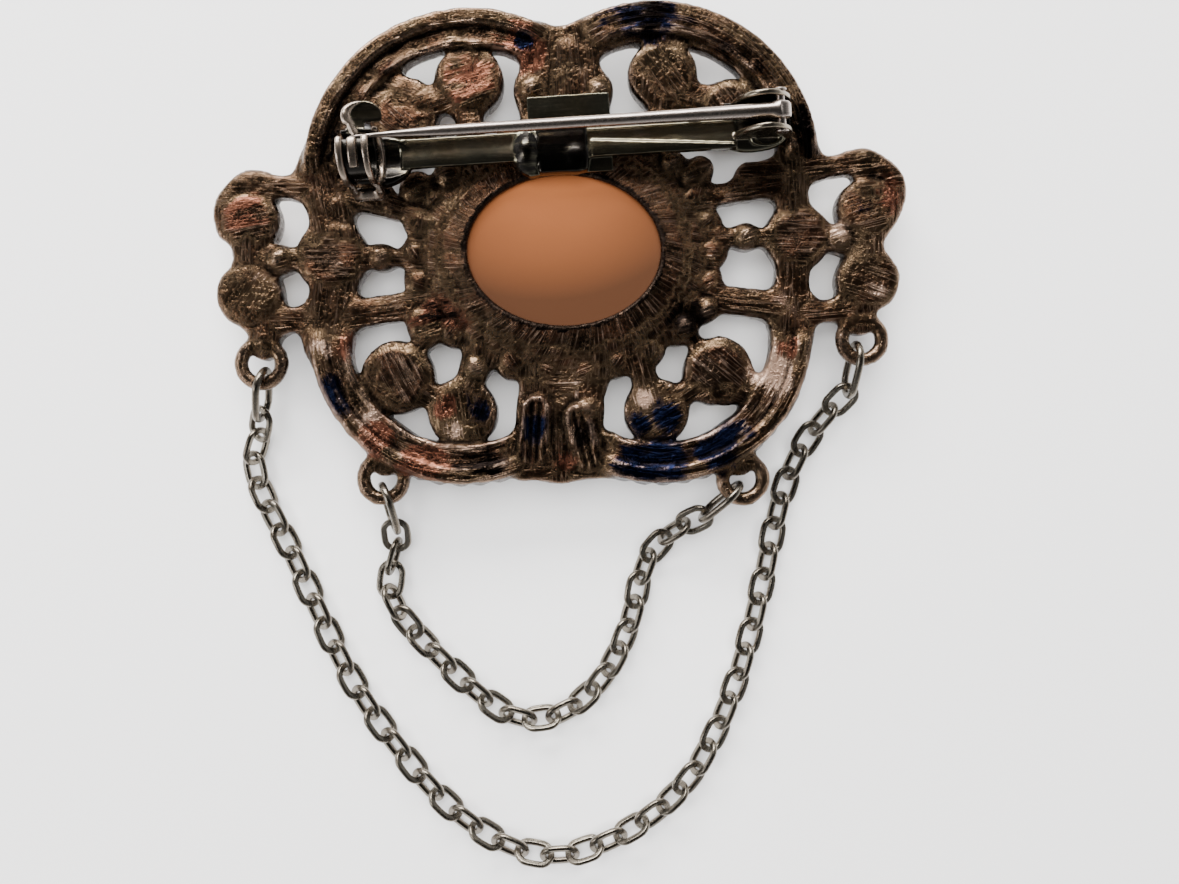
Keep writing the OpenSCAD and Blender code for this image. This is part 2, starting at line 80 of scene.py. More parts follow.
# Struts: both ends, width
STRUTS = [
    (-23.9, 8.2, -22.4, 1.5, 3.7), (-20.8, 5.4, -14.2, 3.6, 1.5), (-22.5, 6.3, -17.8, 6.1, 1.4),
    (-23.2, -8.8, -22.4, -2.0, 3.9), (-21.5, -6.2, -14.6, -5.1, 2.2), (-23.5, 6.2, -30.6, 6.5, 1.6),
    (-23.5, -6.5, -30.0, -6.7, 1.8), (-30.7, 1.6, -30.7, -2.6, 2.7), (-29.3, -0.7, -25.1, -0.6, 1.5),
    (-20.2, -0.5, -14.5, -0.5, 1.2), (22.2, 8.6, 22.4, 3.0, 2.5), (21.0, 6.6, 12.6, 5.2, 1.5),
    (17.9, 7.7, 22.0, 7.9, 1.6), (23.5, 8.1, 29.0, 8.8, 1.5), (22.5, -5.9, 28.5, -5.5, 1.7),
    (29.6, 2.6, 29.6, -1.0, 2.5), (24.4, 1.4, 28.9, 1.3, 1.4), (14.5, 1.5, 21.0, 1.5, 1.2),
    (22.3, 0.0, 22.2, -8.4, 2.7), (22.0, -5.4, 14.0, -4.4, 2.2), (-13.8, 14.4, -11.4, 15.2, 2.2),
    (-9.3, 14.5, -9.1, 8.5, 2.1), (-2.2, 20.4, -2.8, 15.6, 3.0), (-3.1, 16.0, -2.7, 10.0, 1.9),
    (1.4, 20.3, 1.9, 15.6, 3.0), (-0.5, 19.6, -0.3, 15.0, 1.8), (3.3, 16.0, 2.9, 10.0, 1.9),
    (9.6, 15.0, 8.8, 8.8, 2.1), (12.0, 15.4, 14.4, 14.6, 2.2), (9.6, 19.5, 9.6, 21.0, 1.9),
    (-14.0, -9.3, -11.4, -7.0, 0.6), (-14.0, -13.5, -12.0, -14.6, 1.7), (-8.4, -10.0, -9.5, -13.4, 2.1),
    (7.2, -10.0, 8.2, -13.6, 2.0), (11.0, -14.3, 12.8, -13.1, 1.7), (16.6, -12.8, 20.6, -14.2, 2.5),
    (11.4, -6.5, 13.2, -9.6, 0.7), (-3.4, -19.9, -2.6, -14.8, 2.9), (-2.6, -15.2, -2.4, -10.0, 2.1),
    (2.4, -19.9, 1.6, -15.8, 2.5), (2.1, -15.4, 2.4, -10.0, 2.5), (-3.9, -20.8, 4.0, -20.6, 2.0),
    (-0.4, -15.5, -0.4, -20.6, 2.9), (-2.6, -12.5, 2.6, -12.5, 1.9), (-29.3, -9.2, -28.9, -5.6, 2.1),
    (28.9, -6.8, 28.6, -4.4, 2.1), (-17.5, -20.4, -17.1, -18.2, 2.3), (17.1, -20.4, 16.5, -18.2, 2.3),
    (-19.6, 14.6, -16.4, 14.0, 3.0), (-17.6, 16.6, -14.8, 15.6, 1.8)
]
# Ribbed leaves: both ends, width; and how far apart their ribs are
LEAVES = [(-2.95, -19.4, -2.7, -15.4, 2.8), (2.3, -19.9, 1.4, -16.2, 2.7)]
LEAF_RIB = 0.72
# Small discs on the struts: x, y, radius
PIPS = [
    (-17.8, -0.5, 1.2), (17.7, 1.5, 1.2), (26.7, 1.3, 1.2), (-27.7, -0.8, 1.3), (-3.2, 15.9, 1.3), (3.3, 15.8, 1.1),
    (2.3, -15.3, 1.2), (12.4, 7.3, 1.4), (13.3, 8.1, 1.2), (10.5, 8.6, 1.3), (11.6, -7.3, 1.3), (13.8, -5.6, 1.2),
    (-14.3, 6.2, 1.6), (-11.3, 7.4, 1.4), (-13.4, -7.1, 1.9), (-8.6, -11.2, 1.2)
]
# The ring of lobes round the large pearl: its half width and half height, how many lobes, and a large one's radius
RING_A, RING_B, RING_LOBES, LOBE_R = 14.4, 11.6, 26, 1.45
# Cast loops and jump links: name, x, y, crossing angle, heading, dip, roll
LOOPS = [
    ("outer_left", -29.5, -10.9, -88, -101.5, 35.5, 94), ("outer_right", 29.0, -8.5, -108, -97, 31, 83),
    ("inner_left", -17.6, -22.1, -81, -82, 38.5, 71), ("inner_right", 17.4, -22.1, 231, 222, 29, 83)
]
LOOP_R, LOOP_WIRE, LOOP_Z, JUMP_SLACK = 1.95, 0.7, 5.3, 0.26
# Links: length, width, thickness, half the height at which they are flattened, and the share of it that is kept
LINK = (4.1, 3.0, 0.66, 0.29)
JUMP = (6.0, 3.9, 0.74, 0.37)
FACE, LINK_GAP, LINK_STEPS = 0.94, 0.12, 44
# Where the chains lie, from jump link to jump link, and how far their links lean, by the share of the way
OUTER_ROUTE = [
    (-30.55, -17.5, 1.9), (-31.55, -19.95, 1.55), (-30.8, -23.2, 1.4), (-29.1, -26.6, 1.35), (-27.3, -30.2, 1.3),
    (-25.7, -33.8, 1.3), (-24.0, -37.5, 1.3), (-22.3, -41.1, 1.3), (-19.7, -45.5, 1.3), (-16.7, -49.5, 1.3),
    (-13.3, -53.7, 1.3), (-9.3, -57.2, 1.3), (-4.7, -59.7, 1.3), (-0.2, -60.3, 1.3), (4.1, -58.9, 1.35),
    (8.6, -56.3, 1.4), (12.6, -52.4, 1.5), (15.2, -47.7, 1.5), (17.4, -42.2, 1.5), (18.9, -36.8, 1.5),
    (20.2, -31.3, 1.5), (21.4, -25.4, 1.5), (22.9, -20.85, 1.5), (25.15, -17.0, 1.7)
]
INNER_ROUTE = [
    (-16.8, -29.05, 1.55), (-17.9, -32.55, 1.85), (-17.3, -34.8, 1.6), (-15.3, -37.5, 1.4), (-12.3, -40.6, 1.35),
    (-8.9, -43.8, 1.3), (-5.5, -46.2, 1.3), (-1.7, -46.5, 1.3), (2.1, -44.3, 1.3), (5.1, -40.3, 1.35),
    (7.0, -35.2, 1.4), (7.85, -30.85, 1.55), (10.05, -27.95, 1.5)
]
OUTER_LEAN = [(0, 25.5), (0.15, 44), (0.5, 42), (0.7, 26.5), (1, 22.5)]
INNER_LEAN = [(0, -2.5), (0.3, 50), (0.7, 40), (1, 21)]
# The pin back has its own axes: along the bar, across it, and up
PIN_MIDDLE, PIN_TURN = np.array([0.46, 9.96, 0.0]), 3.6
PIN_Y, PIN_Z, HINGE_X, HINGE_Z = 1.2, 10.5, 20.0, 10.1
CATCH_X, CATCH_Y, CATCH_Z = -19.7, -0.5, 10.3
BAR_Z, SOLDER_Z, TONGUE_Y, TONGUE_Z = 6.95, 6.7, CATCH_Y + 3.05, CATCH_Z + 0.05
# The catch's tubes, inner and outer radius, and the angle at which both begin; and the pin's radius along it
LOCK_RADII, RIB_RADII, CATCH_FIRST = (2.05, 2.4), (2.47, 2.97), 66
STEM_TAPER = [(-20.3, 0.06), (-19.5, 0.14), (-11.6, 0.52), (8, 0.57), (20, 0.74)]

# How far a point stands out of its neighbours or lies below them: where edges or hollows begin, and over what span;
# hollows get painted shade.
# Then the same for a normal's height, below which a wall is steep and gets painted shade
EDGE, HOLLOW, STEEP = (0.014, 0.02), (0.004, 0.012), (0.75, 0.5)
# How far apart two forms and two links are in the noise, so that their marks differ
FORM_APART, LINK_APART = 3.7, 5.3


# Forms in a grid of distances
def soft_max(a, b, k):
    """The larger of two distances, blended over a width k by a quadratic, which rounds an edge."""
    h = np.clip(0.5 + 0.5 * (a - b) / k, 0, 1)
    return b + (a - b) * h + k * h * (1 - h)


def soft_min(a, b, k):
    """The smaller of two distances, blended over a width k by a quadratic, which fills a corner."""
    return -soft_max(-a, -b, k)


def slab(z, low, high, plan, edge, wall):
    """A plan between two heights, blended by one width where top and bottom meet and by another at the wall."""
    return soft_max(soft_max(z - high, low - z, edge), plan, wall)


def ripple(x, y, z, size, seed, waves=7):
    """A smooth uneven field between about -1 and 1: the mean of sine waves in seeded directions, about size apart."""
    rng = np.random.default_rng(seed)
    way = rng.normal(size=(waves, 3))
    way /= np.linalg.norm(way, axis=1)[:, None]
    freq = 2 * math.pi / size * rng.uniform(0.7, 1.5, waves)
    turn = rng.uniform(0, 6.3, waves)
    total = sum(np.sin((x * w[0] + y * w[1] + z * w[2]) * f + t) for w, f, t in zip(way, freq, turn))
    return total * (1.6 / waves)


class Casting:
    """Signed distances on a regular grid, negative inside, with the number of the form that owns each point and every
    form's grain, after one for the points that no form owns."""

    def __init__(self, low, high, step):
        self.low, self.step = np.array(low, float), np.array(step, float) * np.ones(3)
        self.axes = [np.arange(a, b + s, s, dtype=np.float32) for a, b, s in zip(low, high, self.step)]
        shape = [len(a) for a in self.axes]
        self.d = np.full(shape, 4.0, np.float32)
        self.owner = np.zeros(shape, np.int16)
        self.grains = [lambda x, y, z: (x, y, 0.6)]

    def part(self, low, high):
        """The slices and open coordinates of the grid between two corners."""
        first = np.maximum(((np.array(low) - self.low) / self.step).astype(int) - 1, 0)
        last = np.maximum(((np.array(high) - self.low) / self.step).astype(int) + 2, 1)
        cut = tuple(slice(a, b) for a, b in zip(first, last))
        x, y, z = (axis[c] for axis, c in zip(self.axes, cut))
        return cut, x[:, None, None], y[None, :, None], z[None, None, :]

    def add(self, low, high, form, grain, blend=0.35):
        """Joins a form within a box; its grain gives the place along and across its marks, and its polish."""
        cut, x, y, z = self.part(low, high)
        new, old = form(x, y, z), self.d[cut]
        self.grains.append(grain)
        self.owner[cut] = np.where(new < old, len(self.grains) - 1, self.owner[cut])
        self.d[cut] = soft_min(new, old, blend)

    def add_round(self, x, y, reach, low, high, form, grain, blend):
        """Joins a form within a square column round a point, between two heights."""
        self.add((x - reach, y - reach, low), (x + reach, y + reach, high), form, grain, blend)

    def remove(self, low, high, form, blend=0.12):
        """Cuts a form away within a box."""
        cut, x, y, z = self.part(low, high)
        self.d[cut] = soft_max(self.d[cut], -form(x, y, z), blend)

    def roughen(self, *waves):
        """Moves the whole surface in and out by ripples: height, size and seed of each."""
        x, y, z = np.ix_(*self.axes)
        self.d += sum(height * ripple(x, y, z, size, seed).astype(np.float32) for height, size, seed in waves)

    def surface(self):
        """The level where the distance is zero: one point for each crossed cell, at the mean of its edges' crossings,
        and one quad for each crossed edge, eased once out and once back. Also each point's owner."""
        f = self.d
        f[0], f[-1], f[:, 0], f[:, -1], f[:, :, 0], f[:, :, -1] = (1.0,) * 6
        cells = tuple(n - 1 for n in f.shape)
        flats, points, quads = [], [], []
        along = lambda axis, cut: tuple(cut if i == axis else slice(None) for i in range(3))
        for axis in range(3):
            first, second = f[along(axis, slice(0, -1))], f[along(axis, slice(1, None))]
            crossed = (first < 0) != (second < 0)
            edge = np.argwhere(crossed)
            a, b = first[crossed], second[crossed]
            point = edge.astype(float)
            point[:, axis] += a / (a - b)
            shift = np.zeros((4, 1, 3), int)
            shift[:, 0, (axis + 1) % 3], shift[:, 0, (axis + 2) % 3] = (-1, 0, 0, -1), (-1, -1, 0, 0)
            ring = np.ravel_multi_index(np.moveaxis(edge + shift, -1, 0), cells)
            flats.append(ring.ravel())
            points.append(np.tile(point, (4, 1)))
            quads.append(np.where((a < 0)[:, None], ring.T, ring.T[:, ::-1]))
        flats, points, quads = np.concatenate(flats), np.concatenate(points), np.concatenate(quads)
        used, index = np.unique(flats, return_inverse=True)
        count = np.bincount(index)
        place = np.stack([np.bincount(index, points[:, i]) / count for i in range(3)], 1)
        quads = np.searchsorted(used, quads)
        owner = self.owner[tuple(np.clip(np.rint(place).astype(int), 0, np.array(f.shape) - 1).T)]
        for pull in (0.5, -0.45):
            place = place + pull * (around(place, quads) - place)
        return self.low + place * self.step, quads, owner


def around(values, quads):
    """The mean of each point's neighbours along the quads' sides, for every column of values."""
    a, b = quads.ravel(), np.roll(quads, -1, 1).ravel()
    size = len(values)
    count = np.bincount(a, minlength=size) + np.bincount(b, minlength=size)
    total = [np.bincount(a, column[b], size) + np.bincount(b, column[a], size) for column in values.T]
    return np.stack(total, 1) / np.maximum(count, 1)[:, None]


def corner_normals(place, quads):
    """Unit normals at the points, from the quads' diagonals."""
    n = np.cross(place[quads[:, 2]] - place[quads[:, 0]], place[quads[:, 3]] - place[quads[:, 1]])
    total = np.stack([np.bincount(quads.ravel(), np.repeat(n[:, i], 4), len(place)) for i in range(3)], 1)
    return total / np.maximum(np.linalg.norm(total, axis=1), 1e-12)[:, None]


def edges_and_hollows(place, quads):
    """How far each point stands out of the mean of its neighbours or lies below it, widened by easing: a mask of edges,
    and one of hollows, which are painted with shade."""
    bend = np.einsum("ij,ij->i", place - around(place, quads), corner_normals(place, quads))
    for _ in range(2):
        bend = 0.5 * bend + 0.5 * around(bend[:, None], quads)[:, 0]
    return np.clip((bend - EDGE[0]) / EDGE[1], 0, 1), np.clip((-bend - HOLLOW[0]) / HOLLOW[1], 0, 1)


def seams(place, quads, grain):
    """A mask of the lines along which the grain jumps, where one form meets the next, widened by easing."""
    a, b = quads.ravel(), np.roll(quads, -1, 1).ravel()
    jump = np.abs(grain[a] - grain[b]).max(1) > 4 * np.linalg.norm(place[a] - place[b], axis=1) + 0.3
    mask = np.zeros(len(place))
    mask[a[jump]] = mask[b[jump]] = 1
    for _ in range(2):
        mask = np.maximum(mask, around(mask[:, None], quads)[:, 0])
    return mask


# The casting's forms
def field(function):
    """Makes a function of a place and sizes into one of the sizes alone, which gives a function of the place."""
    return lambda *sizes, **more: lambda x, y, z: function(x, y, z, *sizes, **more)


def fall(row, t):
    """Straight lines between a table's rows of place and value."""
    a, b = zip(*row)
    return np.interp(t, a, b)


def past_span(x, low, high):
    """How far a place lies past the nearer end of a span."""
    return np.abs(x - (low + high) / 2) - (high - low) / 2


def on_heading(x, y, cx, cy, heading):
    """Places along and across a heading, from a point."""
    c, s = math.cos(math.radians(heading)), math.sin(math.radians(heading))
    return (x - cx) * c + (y - cy) * s, (y - cy) * c - (x - cx) * s


def off_middle(u, v, first, turn):
    """The angle of a place from the middle of a sector, in degrees."""
    return (np.degrees(np.arctan2(v, u)) - first - turn / 2 + 180) % 360 - 180


def arc_parts(x, y, row):
    """Radius, angle past the first end in degrees, and length past the nearer end, for a ring sector."""
    cx, cy, first, turn = row[0], row[1], row[4], row[5]
    r, a = np.hypot(x - cx, y - cy), off_middle(x - cx, y - cy, first, turn) + turn / 2
    return r, a, np.radians(np.abs(a - turn / 2) - turn / 2) * r


@field
def scroll_form(x, y, z, row, seed):
    """A ring sector whose back has an outer band, a step and an uneven trough, and whose front is rounded. Below the
    back's rim the outer wall bulges at each lobe of the front, by a sine of the angle without its sign."""
    ro, ri, edge, trough, band, rim = row[2], row[3], *row[6:]
    top = [(ri, edge), (ri + 0.45, edge), (ri + 0.8, trough), (ro - 1.75, trough)]
    top += [(ro - 1.5, band), (ro - 0.2, band - 0.04), (ro, rim)]
    low = [(ri, 3.8), (ri + 1.2, 2.55), (ro - 1.2, 2.55), (ro, 3.9)]
    r, a, past = arc_parts(x, y, row)
    run = np.radians(a) * ro
    scoops = 0.13 * ripple(run, 2.2 * r, 0 * r, 3.6, seed) * np.clip((ro - 1.2 - r) / 0.5, 0.3, 1)
    ends = np.clip((past + 2.6) / 2.6, 0, 1) ** 2
    d = soft_max(z - fall(top, r) * (1 - ends) - 5.5 * ends - scoops, fall(low, r) - z, 0.2)
    lobes = 0.34 * np.abs(np.sin(math.pi * SCROLL_LOBES * a / row[5])) * np.clip(5.5 - z, 0, 1)
    return soft_max(soft_max(soft_max(d, r - ro - lobes, 0.22), ri - r, 0.3), past, 0.4)


@field
def disc_form(x, y, z, cx, cy, radius, top, crown, low, lean=0.0, heading=0.0, soft=0.35):
    """An upright disc with a crowned top that may lean: top + crown x (1 - r2) - lean x distance across the heading."""
    r = np.hypot(x - cx, y - cy)
    height = top + crown * (1 - (r / radius) ** 2) - lean * on_heading(x, y, cx, cy, heading)[1]
    return slab(z, low, height, r - radius, 0.4, soft)


def cup_heights(x, y, row):
    """A closed cup's dome, and the flat that was filed across it, leaning."""
    _, cx, cy, radius, _, heading, lean, _ = row
    dome = STRUT_Z - 0.2 + 1 - np.hypot(x - cx, y - cy) ** 2 / radius ** 2
    return dome, STRUT_Z + 0.2 - lean * on_heading(x, y, cx, cy, heading)[1]


@field
def cup_form(x, y, z, row):
    """A closed cup seen from behind: a dome cut by its filed flat, inside an upright wall."""
    dome, flat = cup_heights(x, y, row)
    back = soft_max(z - dome, z - flat, 0.05)
    return soft_max(soft_max(back, FRONT_Z - z, 0.4), np.hypot(x - row[1], y - row[2]) - row[3], 0.3)


def oval_past(x, y, a, b):
    """About how far a point lies outside an ellipse: its radius x (1 - 1 / q), with q its share of the ellipse."""
    q = np.hypot(x / a, y / b)
    return np.hypot(x, y) * (1 - 1 / np.maximum(q, 1e-3))


def plate_form(x, y, z):
    """The back plate: an oval disc that falls from the window to its edge, with a lip round the window."""
    past = oval_past(x, y, PLATE_A, PLATE_B)
    height = 5.75 + np.clip(-past / 4.6, 0, 1) ** 0.8 + 0.05 * ripple(x, y, 0 * x, 3.0, 21)
    d = slab(z, 4.6, height, past, 0.3, 0.5)
    lip = np.hypot(oval_past(x, y, WINDOW_A + 0.2, WINDOW_B + 0.2), z - 6.55) - 0.2
    return soft_min(d, lip, 0.12)


def base_form(x, y, z):
    """The collar round the large pearl."""
    return soft_max(soft_max(oval_past(x, y, OVAL_A + 1.5, OVAL_B + 1.5), z - 6.3, 0.3), 2.4 - z, 0.3)


@field
def ring_form(x, y, z, cx, cy, cz, radius, thick):
    """A ring of round wire lying flat: the distance to its circle less the wire's radius."""
    return np.hypot(np.hypot(x - cx, y - cy) - radius, z - cz) - thick


def to_line(x, y, x0, y0, x1, y1):
    """The distance to the line between two ends."""
    run = np.array([x1 - x0, y1 - y0])
    t = np.clip(((x - x0) * run[0] + (y - y0) * run[1]) / (run @ run), 0, 1)
    return np.hypot(x - x0 - t * run[0], y - y0 - t * run[1])


def bar_plan(x, y, row):
    """A bar with round ends in plan: the distance to its middle line less half its width."""
    return to_line(x, y, *row[:4]) - row[4] / 2


def sector_plan(x, y, row, radius, half):
    """A band round a sector's middle in plan."""
    r, _, past = arc_parts(x, y, row)
    return soft_max(np.abs(r - radius) - half, past, 0.3)


def ring_lobes():
    """The lobes round the large pearl: x, y, radius, large and small by turns."""
    for i in range(RING_LOBES):
        a = 2 * math.pi * i / RING_LOBES
        yield RING_A * math.cos(a), RING_B * math.sin(a), LOBE_R * (1 if i % 2 == 0 else 0.86)


def web_plan(x, y):
    """The openwork in plan: every bar, disc and band, joined with wide fillets."""
    web = soft_min(oval_past(x, y, RING_A + 0.3, RING_B + 0.3), 4.0 + 0 * x, FILLET)
    for row in STRUTS:
        web = soft_min(web, bar_plan(x, y, row), FILLET)
    for row in WING_RIMS:
        web = soft_min(web, sector_plan(x, y, row, 2.9, 0.7), FILLET)
    for row in SCROLLS:
        web = soft_min(web, sector_plan(x, y, row, (row[2] + row[3]) / 2, 1.3), FILLET)
    for cx, cy, r in [row[1:4] for row in CUPS] + PIPS:
        web = soft_min(web, np.hypot(x - cx, y - cy) - r + 0.25, 0.9)
    for cx, cy, r in ring_lobes():
        web = soft_min(web, np.hypot(x - cx, y - cy) - r + 0.1, 0.6)
    return web - WEB_GROW


def web_form(x, y, z):
    """The web's plan between its front and a back that is crowned along its members."""
    web = web_plan(x, y)
    height = 5.6 + 0.3 * np.sqrt(np.clip(-web, 0, 1)) + 0.09 * ripple(x, y, 0 * x, 3.0, 12)
    return slab(z, WEB_FRONT_Z, height, web, 0.3, 0.3)


@field
def leaf_form(x, y, z, row):
    """A ribbed leaf: a flat bar with a raised rim, open at its lower end, and ribs along it, cosines across it."""
    x0, y0, x1, y1, _ = row
    run = math.hypot(x1 - x0, y1 - y0)
    d = bar_plan(x, y, row)
    across = ((y - y0) * (x1 - x0) - (x - x0) * (y1 - y0)) / run
    rim = np.clip((d + 0.6) / 0.25, 0, 1) * np.clip((y - y0 - 0.3) / 1.2, 0, 1)
    height = 6.05 + 0.22 * np.cos(across * 2 * math.pi / LEAF_RIB) * (1 - rim) + 0.32 * rim
    return slab(z, WEB_FRONT_Z, height, d, 0.2, 0.2)


# Grains: the place along a form's marks, the place across them, and its polish
@field
def flat_grain(x, y, z, polish):
    """Straight marks along the X axis."""
    return x, y, polish


@field
def turned_grain(x, y, z, cx, cy, heading, polish=0.75):
    """Straight marks on one heading."""
    return *on_heading(x, y, cx, cy, heading), polish


@field
def hoop_grain(x, y, z, radius):
    """Marks round the catch's axis, worn bright: length round it at a radius, and place along it."""
    return np.arctan2(z - CATCH_Z, y - CATCH_Y) * radius, x, 1.6


def ray_grain(x, y, z):
    """Marks that run out from the middle, bent a little: radius along them, and arc length across them. The window's
    lip is painted dark: painted shade between the pearl and the metal."""
    squeezed = x / RAY_SQUEEZE
    r = np.hypot(squeezed, y)
    lip = oval_past(x, y, WINDOW_A, WINDOW_B) < LIP_WIDE
    return r, (np.arctan2(y, squeezed) + RAY_BEND * r) * RAY_RADIUS, np.where(lip, -0.6, 0.35)


@field
def arc_grain(x, y, z, row):
    """Marks that run along a sector: length along it, and radius across it."""
    r, a, _ = arc_parts(x, y, row)
    return np.radians(a) * row[2], r, 0.7


@field
def scroll_grain(x, y, z, row):
    """Marks along a sector, with a polished outer band and a rough trough."""
    along, r, _ = arc_grain(row)(x, y, z)
    return along, r, np.clip((r - row[2] + 1.7) / 0.25, 0, 1) * 0.4 + 0.45


@field
def cup_grain(x, y, z, row):
    """Straight marks on the cup's heading, on the filed flat alone."""
    dome, flat = cup_heights(x, y, row)
    along, across, _ = turned_grain(row[1], row[2], row[5])(x, y, z)
    return along, across, np.clip(0.45 - (dome - flat) * 5, row[7], 0.95)


def strut_grain(x, y, z):
    """Marks along the nearest strut."""
    off = np.stack([bar_plan(x, y, row) for row in STRUTS])
    heading = np.array([math.atan2(y1 - y0, x1 - x0) for x0, y0, x1, y1, _ in STRUTS])[off.argmin(0)]
    return x * np.cos(heading) + y * np.sin(heading), y * np.cos(heading) - x * np.sin(heading), 0.65


def build_casting(step):
    """All the cast forms in one grid, joined with small fillets and left a little uneven."""
    body = Casting((-34.4, -25.6, 1.2), (34.3, 25.2, 8.0), step)
    body.add((-17, -14, 1.5), (17, 14, 8), base_form, ray_grain)
    body.add((-35, -26, 1), (35, 26, 8), web_form, strut_grain)
    for i, (x, y, r) in enumerate(ring_lobes()):
        lobe = disc_form(x, y, r, 5.6, 0.5, 3.0, 0.14 * math.sin(5 * i), 50 * i, 0.4)
        body.add_round(x, y, 2.5, 2, 8, lobe, turned_grain(x, y, 37 * i, 0.3), 0.4)
    for x, y, r in PIPS:
        pip = disc_form(x, y, r, 5.85, 0.55, 3.0, soft=0.45)
        body.add_round(x, y, 3, 2, 8, pip, turned_grain(x, y, 20, 0.95), 0.3)
    for i, row in enumerate(SCROLLS):
        cx, cy, ro, _, first, turn = row[:6]
        body.add_round(cx, cy, ro + 1, 1, 9, scroll_form(row, 40 + i), scroll_grain(row), 0.5)
        for n in range(SCROLL_LOBES):
            a = math.radians(first + (n + 0.5) * turn / SCROLL_LOBES)
            x, y = cx + (ro - 1.12) * math.cos(a), cy + (ro - 1.12) * math.sin(a)
            lobe = disc_form(x, y, 1.36, 3.9, 0.5, 2.55, soft=0.5)
            body.add_round(x, y, 2.4, 1.5, 5.5, lobe, arc_grain(row), 0.25)
    for row in LEAVES:
        low, high = (row[0] - 5, row[1] - 8, 3), (row[2] + 5, row[3] + 8, 7)
        body.add(low, high, leaf_form(row), turned_grain(row[0], row[1], 90, 0.2), 0.2)
    for row in CUPS:
        x, y, r = row[1:4]
        body.add_round(x, y, r + 1, 1.5, 8, cup_form(row), cup_grain(row), 0.3)
    body.add((-15.5, -13.5, 3), (15.5, 13.5, 8), plate_form, ray_grain, 0.45)
    for _, x, y, *_ in LOOPS:
        hoop = lambda a, b, c, x=x, y=y: (np.arctan2(b - y, a - x) * 2, c, 1.0)
        body.add_round(x, y, 3.2, 3.5, 7.2, ring_form(x, y, LOOP_Z, LOOP_R, LOOP_WIRE), hoop, 0.4)
    body.roughen((0.05, 2.6, 3), (0.03, 1.0, 4))
    seat = lambda x, y, z: soft_max(oval_past(x, y, OVAL_A + 0.1, OVAL_B + 0.1), z - OVAL_BACK_Z - 0.08, 0.1)
    body.remove((-12, -10, 0), (12, 10, 6.2), seat)
    body.remove((-11, -9, 5), (11, 9, 8), lambda x, y, z: oval_past(x, y, WINDOW_A, WINDOW_B) + 0 * z)
    return body


# The pin back's forms
@field
def box_form(x, y, z, low, high, soft=0.12):
    """A box with softened edges."""
    across, along, up = map(past_span, (x, y, z), low, high)
    return soft_max(soft_max(across, along, soft), up, soft)


@field
def band_form(x, y, z, r0, r1, x0, x1, first, turn, soft=0.1, lean=0.0):
    """A sector of a tube round the catch's axis, angles from the outward side of the pin upwards, that leans along the
    axis."""
    r, a = np.hypot(y - CATCH_Y, z - CATCH_Z), off_middle(y - CATCH_Y, z - CATCH_Z, first, turn)
    d = soft_max(past_span(r, r0, r1), past_span(x + lean * (z - CATCH_Z), x0, x1), soft)
    return soft_max(d, np.radians(np.abs(a) - turn / 2) * r, soft)


@field
def post_form(x, y, z, radius, y0, y1, soft=0.1):
    """A short round post across the bar, on the hinge's axis."""
    return soft_max(np.hypot(x - HINGE_X, z - HINGE_Z) - radius, past_span(y, y0, y1), soft)


@field
def heap_form(x, y, z, cx, cy, a, b, base, rise):
    """A rounded heap on an oval: base + rise x (1 - its share of the oval, squared)."""
    share = np.hypot((x - cx) / a, (y - cy) / b)
    return soft_max(soft_max(z - base - rise * (1 - share ** 2), (share - 1) * min(a, b), 0.2), SOLDER_Z - z, 0.1)


@field
def leaning_form(x, y, z, x0, y0, z0, y1, z1, half_x, half_wide):
    """A strip that leans across the bar: the distance to its middle line from (y0, z0) to (y1, z1), between sides."""
    return soft_max(to_line(y, z, y0, z0, y1, z1) - half_wide, np.abs(x - x0) - half_x, 0.2)


@field
def ear_form(x, y, z, y0):
    """A hinge ear: half an oval cut off past the rivet, as thick as its sheet."""
    dome = np.hypot((x - HINGE_X + 1.4) / 2.9, (z - 6.9) / (HINGE_Z + 1.3 - 6.9)) - 1
    cut = np.maximum(BAR_Z - z, x - HINGE_X - 1.3)
    return soft_max(soft_max(dome * 2.6, cut, 0.3), np.abs(y - y0) - 0.27, 0.16)


